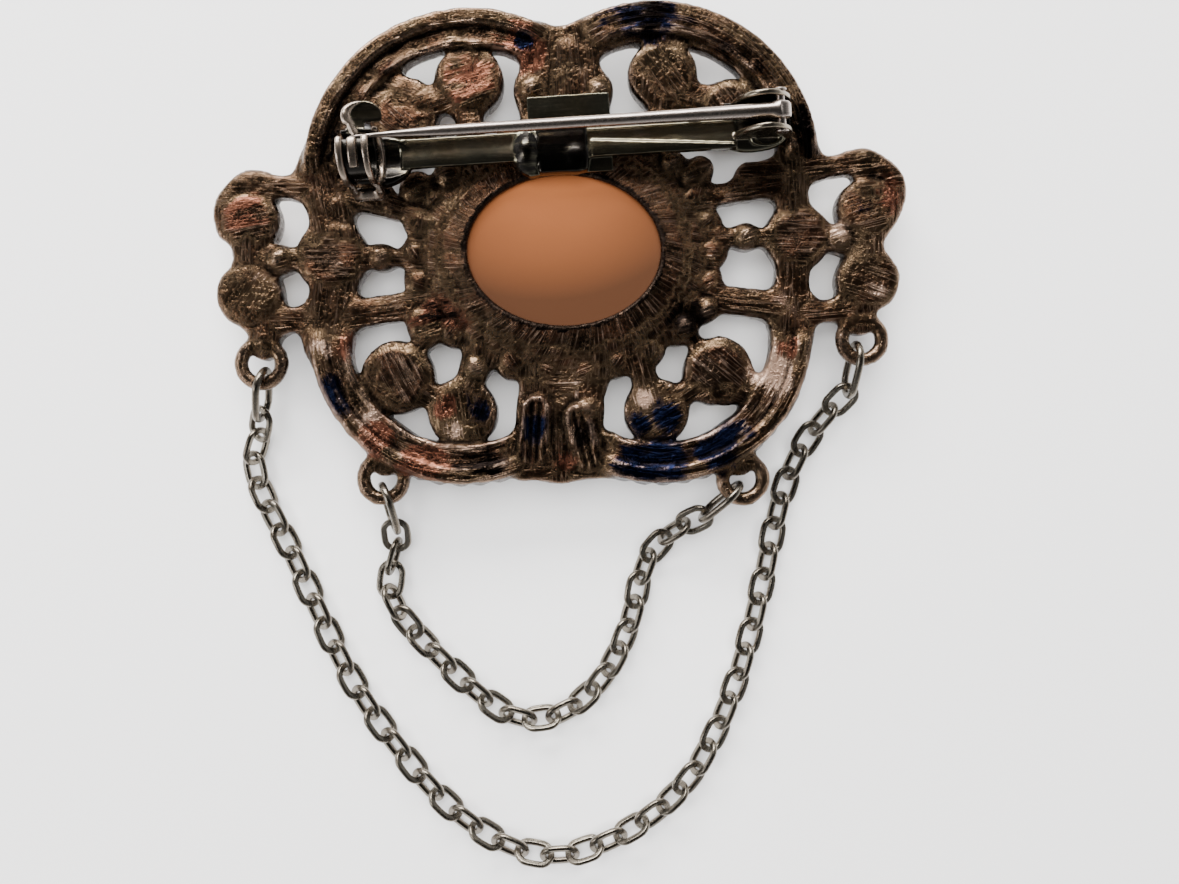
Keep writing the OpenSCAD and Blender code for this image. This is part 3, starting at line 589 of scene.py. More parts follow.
def build_pin_back(step):
    """Bar, cross tab, solder, hinge ears and catch shell, in the pin back's own axes."""
    body = Casting((-23.6, -4.9, 5.6), (22.2, 5.6, 13.6), step)
    along = lambda x, y, z: (x, y + z, 0.6)
    # Forms with the shaded grain are painted dark: painted shade on the strap, solder, catch shell and block
    hoop, shaded = hoop_grain(2.6), flat_grain(-0.55)

    def add(low, high, form, grain=along, blend=0.15):
        body.add(low, high, form, grain, blend)

    def bar(x, y, z):
        """A flat bar, hollowed along its middle, with a step that runs slanting along its hinge half."""
        dish = 0.1 * np.exp(-((y - 0.3) / 0.7) ** 2)
        step_line = np.clip((0.35 - (x - 2.2) * 0.09 - y) / 0.16, 0, 1) * np.clip((x - 2.0) / 0.3, 0, 1) * 0.14
        return soft_max(box_form((-16, -1.4, BAR_Z), (16, 1.4, 7.95))(x, y, z), z - 7.78 + dish - step_line, 0.06)

    def rolled(x, y, z):
        """A rolled edge of sheet round the hinge's foot: a flat oval ring of wire."""
        return np.hypot(np.hypot((x - 18.9) / 1.3, (y + 0.75) / 0.62) * 0.8 - 0.8, z - 7.85) - 0.2
    add((-17, -2.5, 6), (17, 2.5, 8.6), bar)
    add((-5, -3.6, 6), (5, 5.6, 8), box_form((-3.75, -2.75, 6.65), (4.15, 4.8, 7.35)))
    add((-4, -3.2, 6.4), (2.6, 2.4, 8.8), box_form((-3.0, -2.7, 6.9), (1.75, 1.65, 8.0), 0.35), shaded, 0.1)
    add((-6.4, -3.6, 6.4), (-2, 2.6, 9.6), heap_form(-4.0, -0.45, 1.5, 2.3, 7.3, 1.3), shaded, 0.5)
    add((-1.2, -3.6, 6.4), (2.6, 1, 9.6), heap_form(0.65, -1.3, 1.2, 1.35, 7.75, 0.5), shaded, 0.4)
    add((13.6, -2.6, 6.4), (22, 2, 8.4), heap_form(17.6, -0.35, 3.4, 1.4, 7.35, 0.35), along, 0.2)
    add((16.6, -2.2, 6.8), (21.2, 0.6, 8.6), rolled, flat_grain(1.0))
    add((14, -1.2, 6.4), (22, 4, 8.4), box_form((15, -0.55, BAR_Z), (21.3, 2.95, 7.6)), shaded)
    for y0 in (PIN_Y - 1.55, PIN_Y + 1.55):
        add((15.2, y0 - 0.8, 6.4), (22, y0 + 0.8, 12), ear_form(y0), flat_grain(1.3))
    for side in (-1, 1):
        mid = CATCH_X + 0.3 + side * 1.2
        rib = band_form(*RIB_RADII, mid - 0.31, mid + 0.31, CATCH_FIRST, 279, 0.22, 0.1)
        add((mid - 1.2, -4.2, 6.4), (mid + 1.2, 3.2, 13.4), rib, hoop)
        leg = leaning_form(mid + 0.15, -3.2, 10.2, -3.75, 7.3, 0.31, 0.22)
        add((mid - 1, -4.8, 6.4), (mid + 1, -2, 11), leg, hoop)
    foot = leaning_form(CATCH_X + 0.45, -3.45, 7.5, -3.7, 7.35, 1.2, 0.45)
    add((CATCH_X - 2.4, -4.8, 6.4), (CATCH_X + 2.4, -2.4, 8.6), foot, hoop, 0.6)
    shell = band_form(2.5, 2.93, CATCH_X - 1.2, CATCH_X + 1.2, 215, 85)
    add((CATCH_X - 2, -4.2, 6.4), (CATCH_X + 2, 3.2, 13.4), shell, shaded)
    cradle = lambda y, z: 2.85 - np.hypot(y - CATCH_Y, z - CATCH_Z)
    block = heap_form(-18.0, -0.5, 3.0, 2.45, 7.85, 0.6)
    add((-22, -3.4, 6.4), (-14, 2.2, 9), lambda x, y, z: soft_max(block(x, y, z), cradle(y, z), 0.1), shaded)
    body.roughen((0.02, 2.2, 8))
    return body


def build_lock(step):
    """The split tube, painted dark with shade inside its ribs, a raised band round its middle, and the rolled thumb
    plate.
    """
    body = Casting((-22.6, -4.0, 7.0), (-16.8, 5.0, 13.6), step)
    low, high = (-22.5, -3.9, 7.1), (-16.9, 4.9, 13.5)
    hoop = hoop_grain(2.4)
    tongue = lambda x, y: np.hypot((x - CATCH_X - 0.75) / 1.75, (y - 3.15) / 1.4)

    def thumb(x, y, z):
        """A round tongue, a little dished, on a short neck."""
        head = soft_max((tongue(x, y) - 1) * 1.4, TONGUE_Y - y, 0.2)
        plan = soft_min(head, soft_max(np.abs(x - CATCH_X) - 0.8, np.abs(y - 2.2) - 0.7, 0.1), 0.2)
        top = TONGUE_Z - 0.08 * (1 - np.clip(tongue(x, y), 0, 1) ** 2) - 0.1 * np.clip(x - CATCH_X, 0, 3)
        return slab(z, CATCH_Z - 0.42, top, plan, 0.08, 0.15)

    def bead(x, y, z):
        """The tongue's rolled outer edge, thickest away from the pin."""
        away = np.clip((CATCH_X + 0.1 - x) / 1.2, -1, 1)
        past = np.maximum(TONGUE_Y - y, 0)
        return np.hypot(np.hypot(tongue(x, y) * 1.3 - 1.15, z - TONGUE_Z), past) - 0.14 - 0.24 * away

    def neck(x, y, z):
        """A round bar that slants across the neck."""
        return np.hypot(to_line(x, y, CATCH_X - 0.85, 3.3, CATCH_X - 0.1, 1.45), z - TONGUE_Z) - 0.31
    tube = band_form(*LOCK_RADII, CATCH_X - 1.45, CATCH_X + 1.45, CATCH_FIRST, 294)
    raised = band_form(LOCK_RADII[0], 2.76, CATCH_X - 0.45, CATCH_X + 0.4, CATCH_FIRST, 64, 0.25)
    # The tube inside the ribs, and less so the thumb, are painted dark: painted shade
    body.add(low, high, tube, flat_grain(-0.8), 0.1)
    body.add(low, high, raised, hoop, 0.1)
    body.add(low, high, thumb, flat_grain(-0.3), 0.15)
    body.add(low, high, neck, hoop, 0.15)
    body.add((CATCH_X - 2, 1.9, 9.5), (CATCH_X + 3, 5.0, 11), bead, hoop, 0.15)
    return body


def build_stem(step):
    """The pin wire with its long taper, and its eye on the rivet."""
    low, high = (-20.6, -0.4, 8.6), (21.4, 2.8, 11.6)
    body = Casting(low, high, step)
    grain = lambda x, y, z: (x, np.arctan2(z - PIN_Z, y - PIN_Y), 1.0)

    def shaft(x, y, z):
        """Round wire whose radius follows a table along it."""
        radius = fall(STEM_TAPER, x)
        return soft_max(np.hypot(y - PIN_Y, z - PIN_Z) - radius, np.maximum(-20.35 - x, x - 19.8), 0.08)
    body.add(low, high, shaft, grain, 0.2)
    body.add((18, -0.4, 8.6), high, post_form(0.95, PIN_Y - 0.8, PIN_Y + 0.8, 0.4), grain, 0.4)
    return body


def build_rivet(step):
    """The rivet's shank and its two formed heads."""
    body = Casting((18.8, -1.6, 8.9), (21.2, 4.0, 11.3), step)
    for mid, half, radius, soft in ((0, 2.1, 0.4, 0.1), (-1.95, 0.13, 0.66, 0.25), (1.95, 0.13, 0.66, 0.25)):
        post = post_form(radius, PIN_Y + mid - half, PIN_Y + mid + half, soft)
        body.add((18.9, -1.5, 9), (21.1, 3.9, 11.2), post, lambda x, y, z: (x, z, 1.0), 0.1)
    return body


# Meshes
def rotation(axis, angle):
    """The matrix that turns points by an angle about an axis."""
    i, j = (axis + 1) % 3, (axis + 2) % 3
    matrix = np.eye(3)
    matrix[i, i] = matrix[j, j] = math.cos(angle)
    matrix[j, i], matrix[i, j] = math.sin(angle), -math.sin(angle)
    return matrix


def on_pin_back(place):
    """Points in the pin back's own axes, turned and moved to the casting's."""
    return place @ rotation(2, math.radians(PIN_TURN)).T + PIN_MIDDLE


def put_in_scene(name, data):
    """An object for a mesh, a light or a camera, linked to the scene."""
    obj = bpy.data.objects.new(name, data)
    bpy.context.scene.collection.objects.link(obj)
    return obj


def make_piece(name, place, quads, node, body, material, **attributes):
    """A smooth mesh object from points in millimetres and quads, at the origin, with named vector attributes."""
    mesh = bpy.data.meshes.new(name)
    mesh.from_pydata(((place - MIDDLE) * MM).tolist(), [], quads.tolist(), shade_flat=False)
    mesh.validate()
    for key, values in attributes.items():
        layer = mesh.attributes.new(key, "FLOAT_VECTOR", "POINT")
        layer.data.foreach_set("vector", values.astype(np.float32).ravel())
    mesh.materials.append(material)
    obj = put_in_scene(name, mesh)
    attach(obj, body)
    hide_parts(node)


def cast_piece(name, body, node, ride, material, place_by=None, stains=()):
    """Meshes a grid and gives it three attributes: grain (along, across, form), tone (edge, hollow shade, polish) and
    stain (copper, blue, dark stain and painted shade or, below 0, painted highlight). Hollows are painted with shade. A
    form's polish below 0 is how dark it is painted with shade, and past 1 how bright it is worn. On a stained piece
    steep walls are darker with painted shade, and the edges of forms painted dark are hardly worn. At the end place_by
    moves the points."""
    place, quads, owner = body.surface()
    edge, hollow_shade = edges_and_hollows(place, quads)
    grain, polish, stain = np.zeros((len(place), 3)), np.zeros(len(place)), np.zeros((len(place), 3))
    for i in np.unique(owner):
        mine = owner == i
        grain[mine, 0], grain[mine, 1], polish[mine] = body.grains[i](*place[mine].T)
        grain[mine, 2] = FORM_APART * i
    # Forms with polish below 0 are painted dark with shade, in the stain's dark channel
    stain[:, 2] = np.clip(-polish, 0, 1)
    worn_seams = 0.9 * seams(place, quads, grain)
    if stains:
        # Steep walls get painted shade, and their edges less wear
        steep = np.clip((STEEP[0] - corner_normals(place, quads)[:, 2]) / STEEP[1], 0, 1)
        hollow_shade = np.maximum(hollow_shade, 0.7 * steep)
        edge = edge * (1 - 0.6 * steep) * np.where(polish < 0, 0.1, 1)
        worn_seams[polish < 0] = 0
    edge = np.maximum(edge, np.clip(polish - 1, 0, 1))
    for x, y, r, copper, blue, dark in stains:
        near = np.exp(-((place[:, 0] - x) ** 2 + (place[:, 1] - y) ** 2) / r ** 2)
        stain[:, :2] = np.maximum(stain[:, :2], near[:, None] * np.array([copper, blue]))
        stain[:, 2] = np.where(np.abs(near * dark) > np.abs(stain[:, 2]), near * dark, stain[:, 2])
    tone = np.stack([edge, hollow_shade, np.maximum(polish, worn_seams)], 1)
    place = place_by(place) if place_by else place
    make_piece(name, place, quads, node, ride, material, grain=grain, tone=tone, stain=stain)


def ring_quads(rings, steps, spans):
    """Quads between neighbours in a row of closed rings of points. With as many spans as rings the row closes too."""
    i, j = np.meshgrid(np.arange(spans), np.arange(steps), indexing="ij")
    k, l = (i + 1) % rings, (j + 1) % steps
    return np.stack([i * steps + j, k * steps + j, k * steps + l, i * steps + l], -1).reshape(-1, 4)


def link_mesh(size):
    """An oval link lying flat: two half circles joined by straights, carrying a round section flattened above and
    below. Gives its points, its quads and each point's length round the link."""
    long, wide, thick, flat = size
    r, half = (wide - thick) / 2, (long - wide) / 2
    t = np.linspace(0, 2 * math.pi, LINK_STEPS, endpoint=False) + math.pi / LINK_STEPS
    path = np.stack([r * np.cos(t) + half * np.clip(np.cos(t) * 4, -1, 1), r * np.sin(t), 0 * t], 1)
    along = np.roll(path, -1, 0) - np.roll(path, 1, 0)
    along /= np.linalg.norm(along, axis=1)[:, None]
    up = np.array([0.0, 0.0, 1.0])
    angles = np.radians([0, 28, 50, 60, 75, 105, 120, 130, 152, 180, 208, 230, 240, 255, 285, 300, 310, 332])
    out, above = thick / 2 * np.cos(angles), np.clip(thick / 2 * np.sin(angles), -flat * FACE, flat * FACE)
    rings = path[:, None] + np.cross(along, up)[:, None] * out[:, None] + up * above[:, None]
    arc = np.repeat(t / (2 * math.pi) * (4 * half + 2 * math.pi * r), len(angles))
    return rings.reshape(-1, 3), ring_quads(LINK_STEPS, len(angles), LINK_STEPS), arc


def turned(points, a, b, roll):
    """Points with their X axis laid from a to b, centred between them, after a roll about X."""
    run = b - a
    pitch, heading = -math.asin(run[2] / np.linalg.norm(run)), math.atan2(run[1], run[0])
    turn = rotation(2, heading) @ rotation(1, pitch) @ rotation(0, math.radians(roll))
    return points @ turn.T + (a + b) / 2


def jump_ends(row):
    """The middle of a jump link's wire at its end in the cast loop, and at the other end."""
    _, x, y, crossing, heading, dip, _ = row
    c, h, p = np.radians([crossing, heading, dip])
    way = np.array([math.cos(p) * math.cos(h), math.cos(p) * math.sin(h), -math.sin(p)])
    hold = LOOP_WIRE + JUMP_SLACK + JUMP[2] / 2
    start = np.array([x, y, LOOP_Z]) + LOOP_R * np.array([math.cos(c), math.sin(c), 0]) - hold * way
    return start, start + (JUMP[0] - JUMP[2]) * way


def smooth_route(route, steps=8):
    """A cubic through the route's points, each span from its four nearest points."""
    p = np.array([route[0]] + list(route) + [route[-1]], float)
    t = (np.arange(steps) / steps)[None, :, None]
    a, b, c, d = (p[i:len(p) - 3 + i][:, None] for i in range(4))
    curve = (2 * b + (c - a) * t + (2 * a - 5 * b + 4 * c - d) * t ** 2 + (3 * b - a - 3 * c + d) * t ** 3) / 2
    return np.vstack([curve.reshape(-1, 3), p[-1:]])


def chain_links(route, lean, first, last):
    """Every link's place along a route: both ends of its long axis, and its roll, a quarter turn from link to link."""
    hold = (JUMP[2] + LINK[2]) / 2 + LINK_GAP
    held = []
    for row, near in ((first, route[0]), (last, route[-1])):
        end = jump_ends(row)[1]
        held.append(end - hold * (near - end) / np.linalg.norm(near - end))
    points = smooth_route([held[0]] + list(route) + [held[1]])
    run = np.r_[0, np.cumsum(np.linalg.norm(np.diff(points, axis=0), axis=1))]
    reach = LINK[0] - LINK[2]
    count = 2 * math.ceil((run[-1] - reach) / (LINK[0] - 2 * LINK[2] - LINK_GAP) / 2) + 1
    start = np.arange(count) * (run[-1] - reach) / (count - 1)
    at = lambda s: np.stack([np.interp(s, run, points[:, i]) for i in range(3)], 1)
    roll = 90 * (np.arange(count) % 2) + fall(lean, np.arange(count) / (count - 1))
    return list(zip(at(start), at(start + reach), roll))


def strung(name, size, rows, node):
    """Links at the given places in one mesh, with the length round each link and its number as the grain, and its
    flattened faces worn."""
    points, quads, arc = link_mesh(size)
    count, each = len(rows), len(points)
    place = np.concatenate([turned(points, a, b, roll) for a, b, roll in rows])
    faces = np.concatenate([quads + i * each for i in range(count)])
    number = np.repeat(np.arange(count), each)
    grain = np.stack([np.tile(arc, count), np.tile(points[:, 1] + points[:, 2], count), LINK_APART * number], 1)
    worn = np.tile(np.abs(points[:, 2]) > 0.98 * FACE * size[3], count)
    tone = np.stack([worn, 0 * number, 0 * number + 1], 1)
    make_piece(name, place, faces, node, "brooch", CHAIN_METAL, grain=grain, tone=tone, stain=0 * grain)


def dome_mesh(cx, cy, a, b, c, back, steps, rings):
    """The part of an ellipsoid on the floor under a flat back: rings of points by angle from its lowest point, then a
    softened rim and the back."""
    p = np.linspace(0.02, math.acos(np.clip((c - back) / c, -1, 1)), rings)
    r, z = np.sin(p), c - c * np.cos(p)
    r = np.r_[r, r[-1] * np.array([0.992, 0.97, 0.6, 0.02])]
    z = np.r_[z[:-1], back - 0.06, np.full(4, back)]
    t = np.linspace(0, 2 * math.pi, steps, endpoint=False)
    ring = [cx + a * r[:, None] * np.cos(t), cy + b * r[:, None] * np.sin(t), np.repeat(z[:, None], steps, 1)]
    points = np.vstack([np.stack(ring, -1).reshape(-1, 3), [[cx, cy, z[0]]], [[cx, cy, z[-1]]]])
    quads = [ring_quads(len(r), steps, len(r) - 1)[:, ::-1]]
    for middle, start in ((len(points) - 2, 0), (len(points) - 1, (len(r) - 1) * steps)):
        edge = start + np.arange(steps)
        quads.append(np.stack([np.full(steps // 2, middle), edge[0::2], edge[1::2], np.roll(edge, -1)[1::2]], 1))
    return points, np.vstack(quads)


# Materials
class Nodes:
    """A node tree, with short words for its nodes. Their inputs take sockets, numbers, vectors and colours."""

    def __init__(self, tree):
        self.tree = tree

    def fill(self, node, inputs):
        """Feeds or sets inputs by name or number."""
        for key, value in inputs.items():
            socket = node.inputs[key]
            if isinstance(value, bpy.types.NodeSocket):
                self.tree.links.new(value, socket)
            else:
                socket.default_value = (*value, 1) if socket.type == "RGBA" else value

    def new(self, kind, inputs, **settings):
        """A node with its settings made and its inputs filled, as its outputs."""
        node = self.tree.nodes.new("ShaderNode" + kind)
        for key, value in settings.items():
            setattr(node, key, value)
        self.fill(node, inputs)
        return node.outputs

    def math(self, how, *values, clamp=False):
        return self.new("Math", dict(enumerate(values)), operation=how, use_clamp=clamp)[0]

    def times(self, a, b, clamp=False):
        return self.math("MULTIPLY", a, b, clamp=clamp)

    def plus(self, a, b, clamp=False):
        return self.math("ADD", a, b, clamp=clamp)

    def noise(self, vector, scale, detail=3.0, rough=0.55):
        return self.new("TexNoise", {"Vector": vector, "Scale": scale, "Detail": detail, "Roughness": rough})["Fac"]

    def ramp(self, value, low, high, start=0.0, end=1.0):
        """Straight from start at low to end at high."""
        ends = {"From Min": low, "From Max": high, "To Min": start, "To Max": end}
        return self.new("MapRange", {"Value": value, **ends})["Result"]

    def mix(self, share, a, b):
        """A colour mix, by the numbers that the Mix node's colour sockets have."""
        return self.new("Mix", {0: share, 6: a, 7: b}, data_type="RGBA")[2]

    def split(self, vector):
        """A vector's three coordinates."""
        return self.new("SeparateXYZ", {0: vector})

    def place(self, kind="Object"):
        """The object's own coordinates, or the sky's."""
        return self.new("TexCoord", {})[kind]

    def attribute(self, name):
        return self.new("Attribute", {}, attribute_name=name)["Vector"]

    def bump(self, height, strength, distance):
        return self.new("Bump", {"Strength": strength, "Distance": distance, "Height": height})["Normal"]


def new_material(name):
    """A material, its nodes and its shader."""
    material = bpy.data.materials.new(name)
    material.use_nodes = True
    return material, Nodes(material.node_tree), material.node_tree.nodes["Principled BSDF"]


def new_group(name, inputs, outputs):
    """An empty shader group with named inputs, vectors where they have no default, and named outputs: its nodes, the
    sockets that it is given, and its last node."""
    group = bpy.data.node_groups.new(name, "ShaderNodeTree")
    for key, value in inputs.items():
        kind = "NodeSocketVector" if value is None else "NodeSocketFloat"
        socket = group.interface.new_socket(key, in_out="INPUT", socket_type=kind)
        if value is not None:
            socket.default_value = value
    for key in outputs:
        group.interface.new_socket(key, in_out="OUTPUT", socket_type="NodeSocketFloat")
    return Nodes(group), group.nodes.new("NodeGroupInput").outputs, group.nodes.new("NodeGroupOutput")


def file_marks_group():
    """Fine marks along the grain: noise stretched along its first coordinate and tight across its second. Gives a
    height, a mask of broad streaks, and thin lines where a smooth noise crosses its middle."""
    nodes, given, last = new_group(
        "File marks", {"Grain": None, "Length": 0.35, "Closeness": 5.0}, ("Height", "Streak", "Line"))
    along, across, form = nodes.split(given["Grain"])
    along, across = nodes.times(along, given["Length"]), nodes.times(across, given["Closeness"])
    marks = nodes.new("CombineXYZ", {0: along, 1: across, 2: form})[0]
    fine = nodes.noise(marks, 1.4, 4.0, 0.7)
    broad = nodes.noise(marks, 0.27, 2.0, 0.5)
    smooth = nodes.noise(marks, 0.8, 1.0, 0.4)
    line = nodes.ramp(nodes.math("ABSOLUTE", nodes.math("SUBTRACT", smooth, 0.5)), 0.045, 0.012)
    nodes.fill(last, {
        "Height": nodes.plus(nodes.times(fine, 0.55), nodes.times(broad, 0.45)),
        "Streak": nodes.ramp(broad, 0.42, 0.6),
        "Line": nodes.times(line, nodes.ramp(fine, 0.42, 0.56), True)
    })
    return nodes.tree


def tarnish_group():
    """Cloudy patches on the metal, from noise on the object's own place. Gives a mask, and a speckle of fine grains."""
    nodes, given, last = new_group("Tarnish", {"Place": None, "Size": 300.0}, ("Cloud", "Speckle"))
    cloud = nodes.noise(given["Place"], given["Size"], 4.0, 0.5)
    speckle = nodes.noise(given["Place"], 2600.0, 2.0, 0.6)
    nodes.fill(last, {"Cloud": nodes.ramp(cloud, 0.4, 0.62), "Speckle": nodes.ramp(speckle, 0.5, 0.7)})
    return nodes.tree


FILE_MARKS = file_marks_group()
TARNISH = tarnish_group()
COPPER_STAIN, BLUE_STAIN = (0.19, 0.075, 0.045), (0.005, 0.0075, 0.022)
# Where a stain broken up by the marks begins and is full, and the least strength that shows
STAIN_RANGE, STAIN_LEAST = (0.38, 0.56), (0.05, 0.2)


def metal(name, colours, rough, marks, dull, bump, length, close, cloud_size=300.0, worn=0.0):
    """Darkened plated metal, with a base, coat, warm, deep and bright colour. Where it is polished it has its base
    colour; elsewhere it has a dark coat, warmed in clouds and streaked by file marks, which also vary its gloss and
    height. Edges are worn bright, hollows and steep walls are painted deep with shade, and stains and painted
    highlights are broken up by the marks."""
    base, coat, warm, deep, bright = colours
    material, nodes, shader = new_material(name)
    times, plus, mix, ramp = nodes.times, nodes.plus, nodes.mix, nodes.ramp
    grain, tone, stain = (nodes.attribute(key) for key in ("grain", "tone", "stain"))
    filed = {"Length": length, "Closeness": close, "Grain": grain}
    height, streak, line = nodes.new("Group", filed, node_tree=FILE_MARKS)
    cloud, speckle = nodes.new("Group", {"Size": cloud_size, "Place": nodes.place()}, node_tree=TARNISH)
    edge, hollow_shade, polish = nodes.split(tone)
    copper, blue, dark = nodes.split(stain)

    dulled = nodes.math("SUBTRACT", 1.0, polish, clamp=True)
    marked = times(dulled, nodes.math("MULTIPLY_ADD", cloud, 0.65, 0.35), True)
    # Stains below 0 are painted highlights: patches of bright colour, which are also rougher and speckled
    painted_highlight = times(dark, -1.0)
    colour = mix(dulled, base, coat)
    for share, tint in (
        (times(cloud, nodes.math("MULTIPLY_ADD", dulled, 0.7, 0.15)), warm),
        (times(streak, times(marked, marks), True), deep),
        (times(line, times(marked, 0.8 * marks), True), bright),
        (times(speckle, times(cloud, 0.4 * marks), True), warm)
    ):
        colour = mix(share, colour, tint)
    patch = nodes.math("MULTIPLY_ADD", cloud, 0.35, nodes.math("MULTIPLY_ADD", height, 1.9, -1.0))
    # The dark channel holds real dark stains and the painted shade of forms painted dark
    for share, tint in ((painted_highlight, bright), (copper, COPPER_STAIN), (blue, BLUE_STAIN), (dark, deep)):
        broken = ramp(plus(share, patch), *STAIN_RANGE)
        colour = mix(times(broken, ramp(share, *STAIN_LEAST), True), colour, tint)
    # Painted shade: hollows and steep walls go towards the deep colour
    colour = mix(times(hollow_shade, 0.9, True), colour, deep)
    colour = mix(times(edge, 0.4 + 1.2 * worn, True), colour, bright)

    gloss = plus(nodes.math("MULTIPLY_ADD", height, dull, rough), times(edge, worn))
    gloss = plus(gloss, times(painted_highlight, 0.5, True))
    gloss = plus(gloss, times(speckle, 0.1 * marks), True)
    raised = plus(times(height, marked), times(speckle, 0.12 * marks))
    raised = plus(raised, times(line, 0.25 * marks))
    raised = plus(raised, times(speckle, times(painted_highlight, 0.8, True)))
    normal = nodes.bump(raised, bump, 0.0003)
    nodes.fill(shader, {"Metallic": 1.0, "Base Color": colour, "Roughness": gloss, "Normal": normal})
    return material


def pearl_skin(name, base, warm, rough, coat, specular=0.5, rim=None, middle=(0, 0)):
    """Pearl plastic: a pale base warmed in broad clouds, with a faint unevenness, a clear skin and perhaps painted
    shade, a deeper colour towards the rim of an oval round middle, by the share of the large pearl's size that each
    place has."""
    material, nodes, shader = new_material(name)
    fine = nodes.noise(nodes.place(), 1500.0)
    colour = nodes.mix(nodes.ramp(nodes.noise(nodes.place(), 90.0, 2.0), 0.35, 0.65), base, warm)
    if rim:
        centre = ((middle[0] - MIDDLE[0]) * MM, (middle[1] - MIDDLE[1]) * MM, 0)
        sizes = {"Location": centre, "Scale": (OVAL_A * MM, OVAL_B * MM, 1)}
        oval = nodes.new("Mapping", {"Vector": nodes.place(), **sizes}, vector_type="TEXTURE")[0]
        share = nodes.new("VectorMath", {0: oval}, operation="LENGTH")["Value"]
        # Painted shade: darker towards the rim
        colour = nodes.mix(nodes.ramp(share, 0.3, 1.5), colour, rim)
    nodes.fill(shader, {
        "Base Color": colour, "Roughness": nodes.math("MULTIPLY_ADD", fine, 0.12, rough),
        "Normal": nodes.bump(fine, 0.08, 0.0002), "Specular IOR Level": specular,
        "Coat Weight": coat, "Coat Roughness": 0.15
    })
    return material


CAST_METAL = metal("cast_metal", (
    (0.12, 0.079, 0.045), (0.055, 0.033, 0.021), (0.11, 0.048, 0.026), (0.005, 0.0035, 0.003), (0.6, 0.41, 0.3)
), rough=0.16, marks=0.95, dull=0.22, bump=0.8, length=0.22, close=3.4)
PIN_METAL = metal("pin_back_metal", (
    (0.17, 0.16, 0.115), (0.12, 0.11, 0.08), (0.15, 0.115, 0.06), (0.03, 0.027, 0.024), (0.75, 0.55, 0.47)
), rough=0.16, marks=0.3, dull=0.1, bump=0.08, length=0.2, close=3.0, worn=0.1)
STEM_METAL = metal("stem_metal", (
    (0.42, 0.36, 0.32), (0.34, 0.29, 0.26), (0.32, 0.25, 0.2), (0.12, 0.1, 0.09), (0.7, 0.64, 0.6)
), rough=0.2, marks=0.3, dull=0.15, bump=0.06, length=0.15, close=4.0)
CHAIN_METAL = metal("chain_metal", (
    (0.17, 0.15, 0.12), (0.12, 0.10, 0.08), (0.12, 0.075, 0.05), (0.04, 0.03, 0.025), (0.22, 0.2, 0.165)
), rough=0.17, marks=0.5, dull=0.2, bump=0.2, length=0.6, close=3.0, cloud_size=500.0)
# The large pearl's back is painted with shade, darker away from a middle near its top
PEARL_BACK = pearl_skin(
    "pearl_back", (0.25, 0.081, 0.027), (0.235, 0.076, 0.025), 0.42, 0.0, 0.08, (0.05, 0.02, 0.009), (-2, 8.5))
PEARL_SKIN = pearl_skin("pearl_skin", (0.86, 0.80, 0.70), (0.88, 0.76, 0.66), 0.18, 0.6)

# Stains on the casting: x, y, radius, copper, blue, dark or, below 0, a painted highlight
STAINS = [
    (-4.6, 19.6, 2.4, 0.8, 0, 0), (-4.0, 20.4, 0.9, 0, 0.9, 0), (-17.5, 17.8, 2.4, 0.25, 0, 0.3),
    (-22.0, 10.0, 3.5, 0.3, 0, 0.5), (8.0, 22.5, 4.5, 0.1, 0.5, 0.3), (18.0, 18.0, 4.0, 0, 0.3, 0.4),
    (22.5, 11.5, 2.8, 0.1, 0.25, 0.6), (-9.3, 16.5, 2.0, 0.7, 0, 0), (-22.5, -14.0, 2.2, 0, 0.7, 0.1),
    (-20.5, -9.5, 2.0, 0.5, 0, 0), (-17.9, -18.3, 1.8, 0.7, 0, 0), (-13.6, -20.6, 2.2, 0.8, 0, 0),
    (-8.0, -21.0, 2.8, 0, 0.3, 0.5), (8.5, -21.5, 3.5, 0, 0.9, 0.1), (15.0, -18.5, 3.0, 0.2, 0.7, 0),
    (22.0, -9.6, 1.3, 0.5, 0, 0), (9.6, -15.9, 1.8, 0, 0.75, 0), (7.3, -16.8, 1.7, 0, 0.8, 0),
    (-11.6, -15.4, 1.3, 0.8, 0, 0), (-30.8, 3.5, 1.8, 0.6, 0, 0.2), (29.4, 4.2, 1.3, 0, 0.3, 0.2),
    (31.6, 5.4, 1.8, 0.5, 0, 0.2), (0.2, -20.6, 1.4, 0.65, 0, 0), (-2.8, -17.2, 1.3, 0, 0.9, 0.2),
    (1.8, -17.8, 1.4, 0, 0.5, 0.6), (-12.0, -6.0, 3.0, 0.4, 0, 0.3), (12.5, -6.5, 3.0, 0.2, 0.2, 0.4),
    (-10.7, -17.4, 1.4, 0.25, 0, -0.6), (-8.3, -15.4, 1.7, 0, 0.4, 0.2), (7.7, -14.3, 1.2, 0, 0, -0.9),
    (20.2, -11.6, 2.0, 0, 0, -0.8), (27.5, 0.5, 2.5, 0, 0, -0.3), (30.5, -4.0, 1.6, 0, 0, -0.3),
    (14.0, -11.0, 1.6, 0.1, 0, -0.25), (21.5, -5.0, 1.3, 0.2, 0, -0.25), (1.0, -13.0, 2.2, 0, 0, -0.2),
    (-29.0, -3.5, 1.5, 0, 0, -0.2), (-23.2, -9.4, 1.3, 0, 0, -0.45), (-18.7, -16.3, 1.2, 0, 0, -0.45),
    (17.0, -17.2, 1.0, 0, 0, -0.5), (10.3, 21.3, 1.3, 0, 0, -0.45)
]

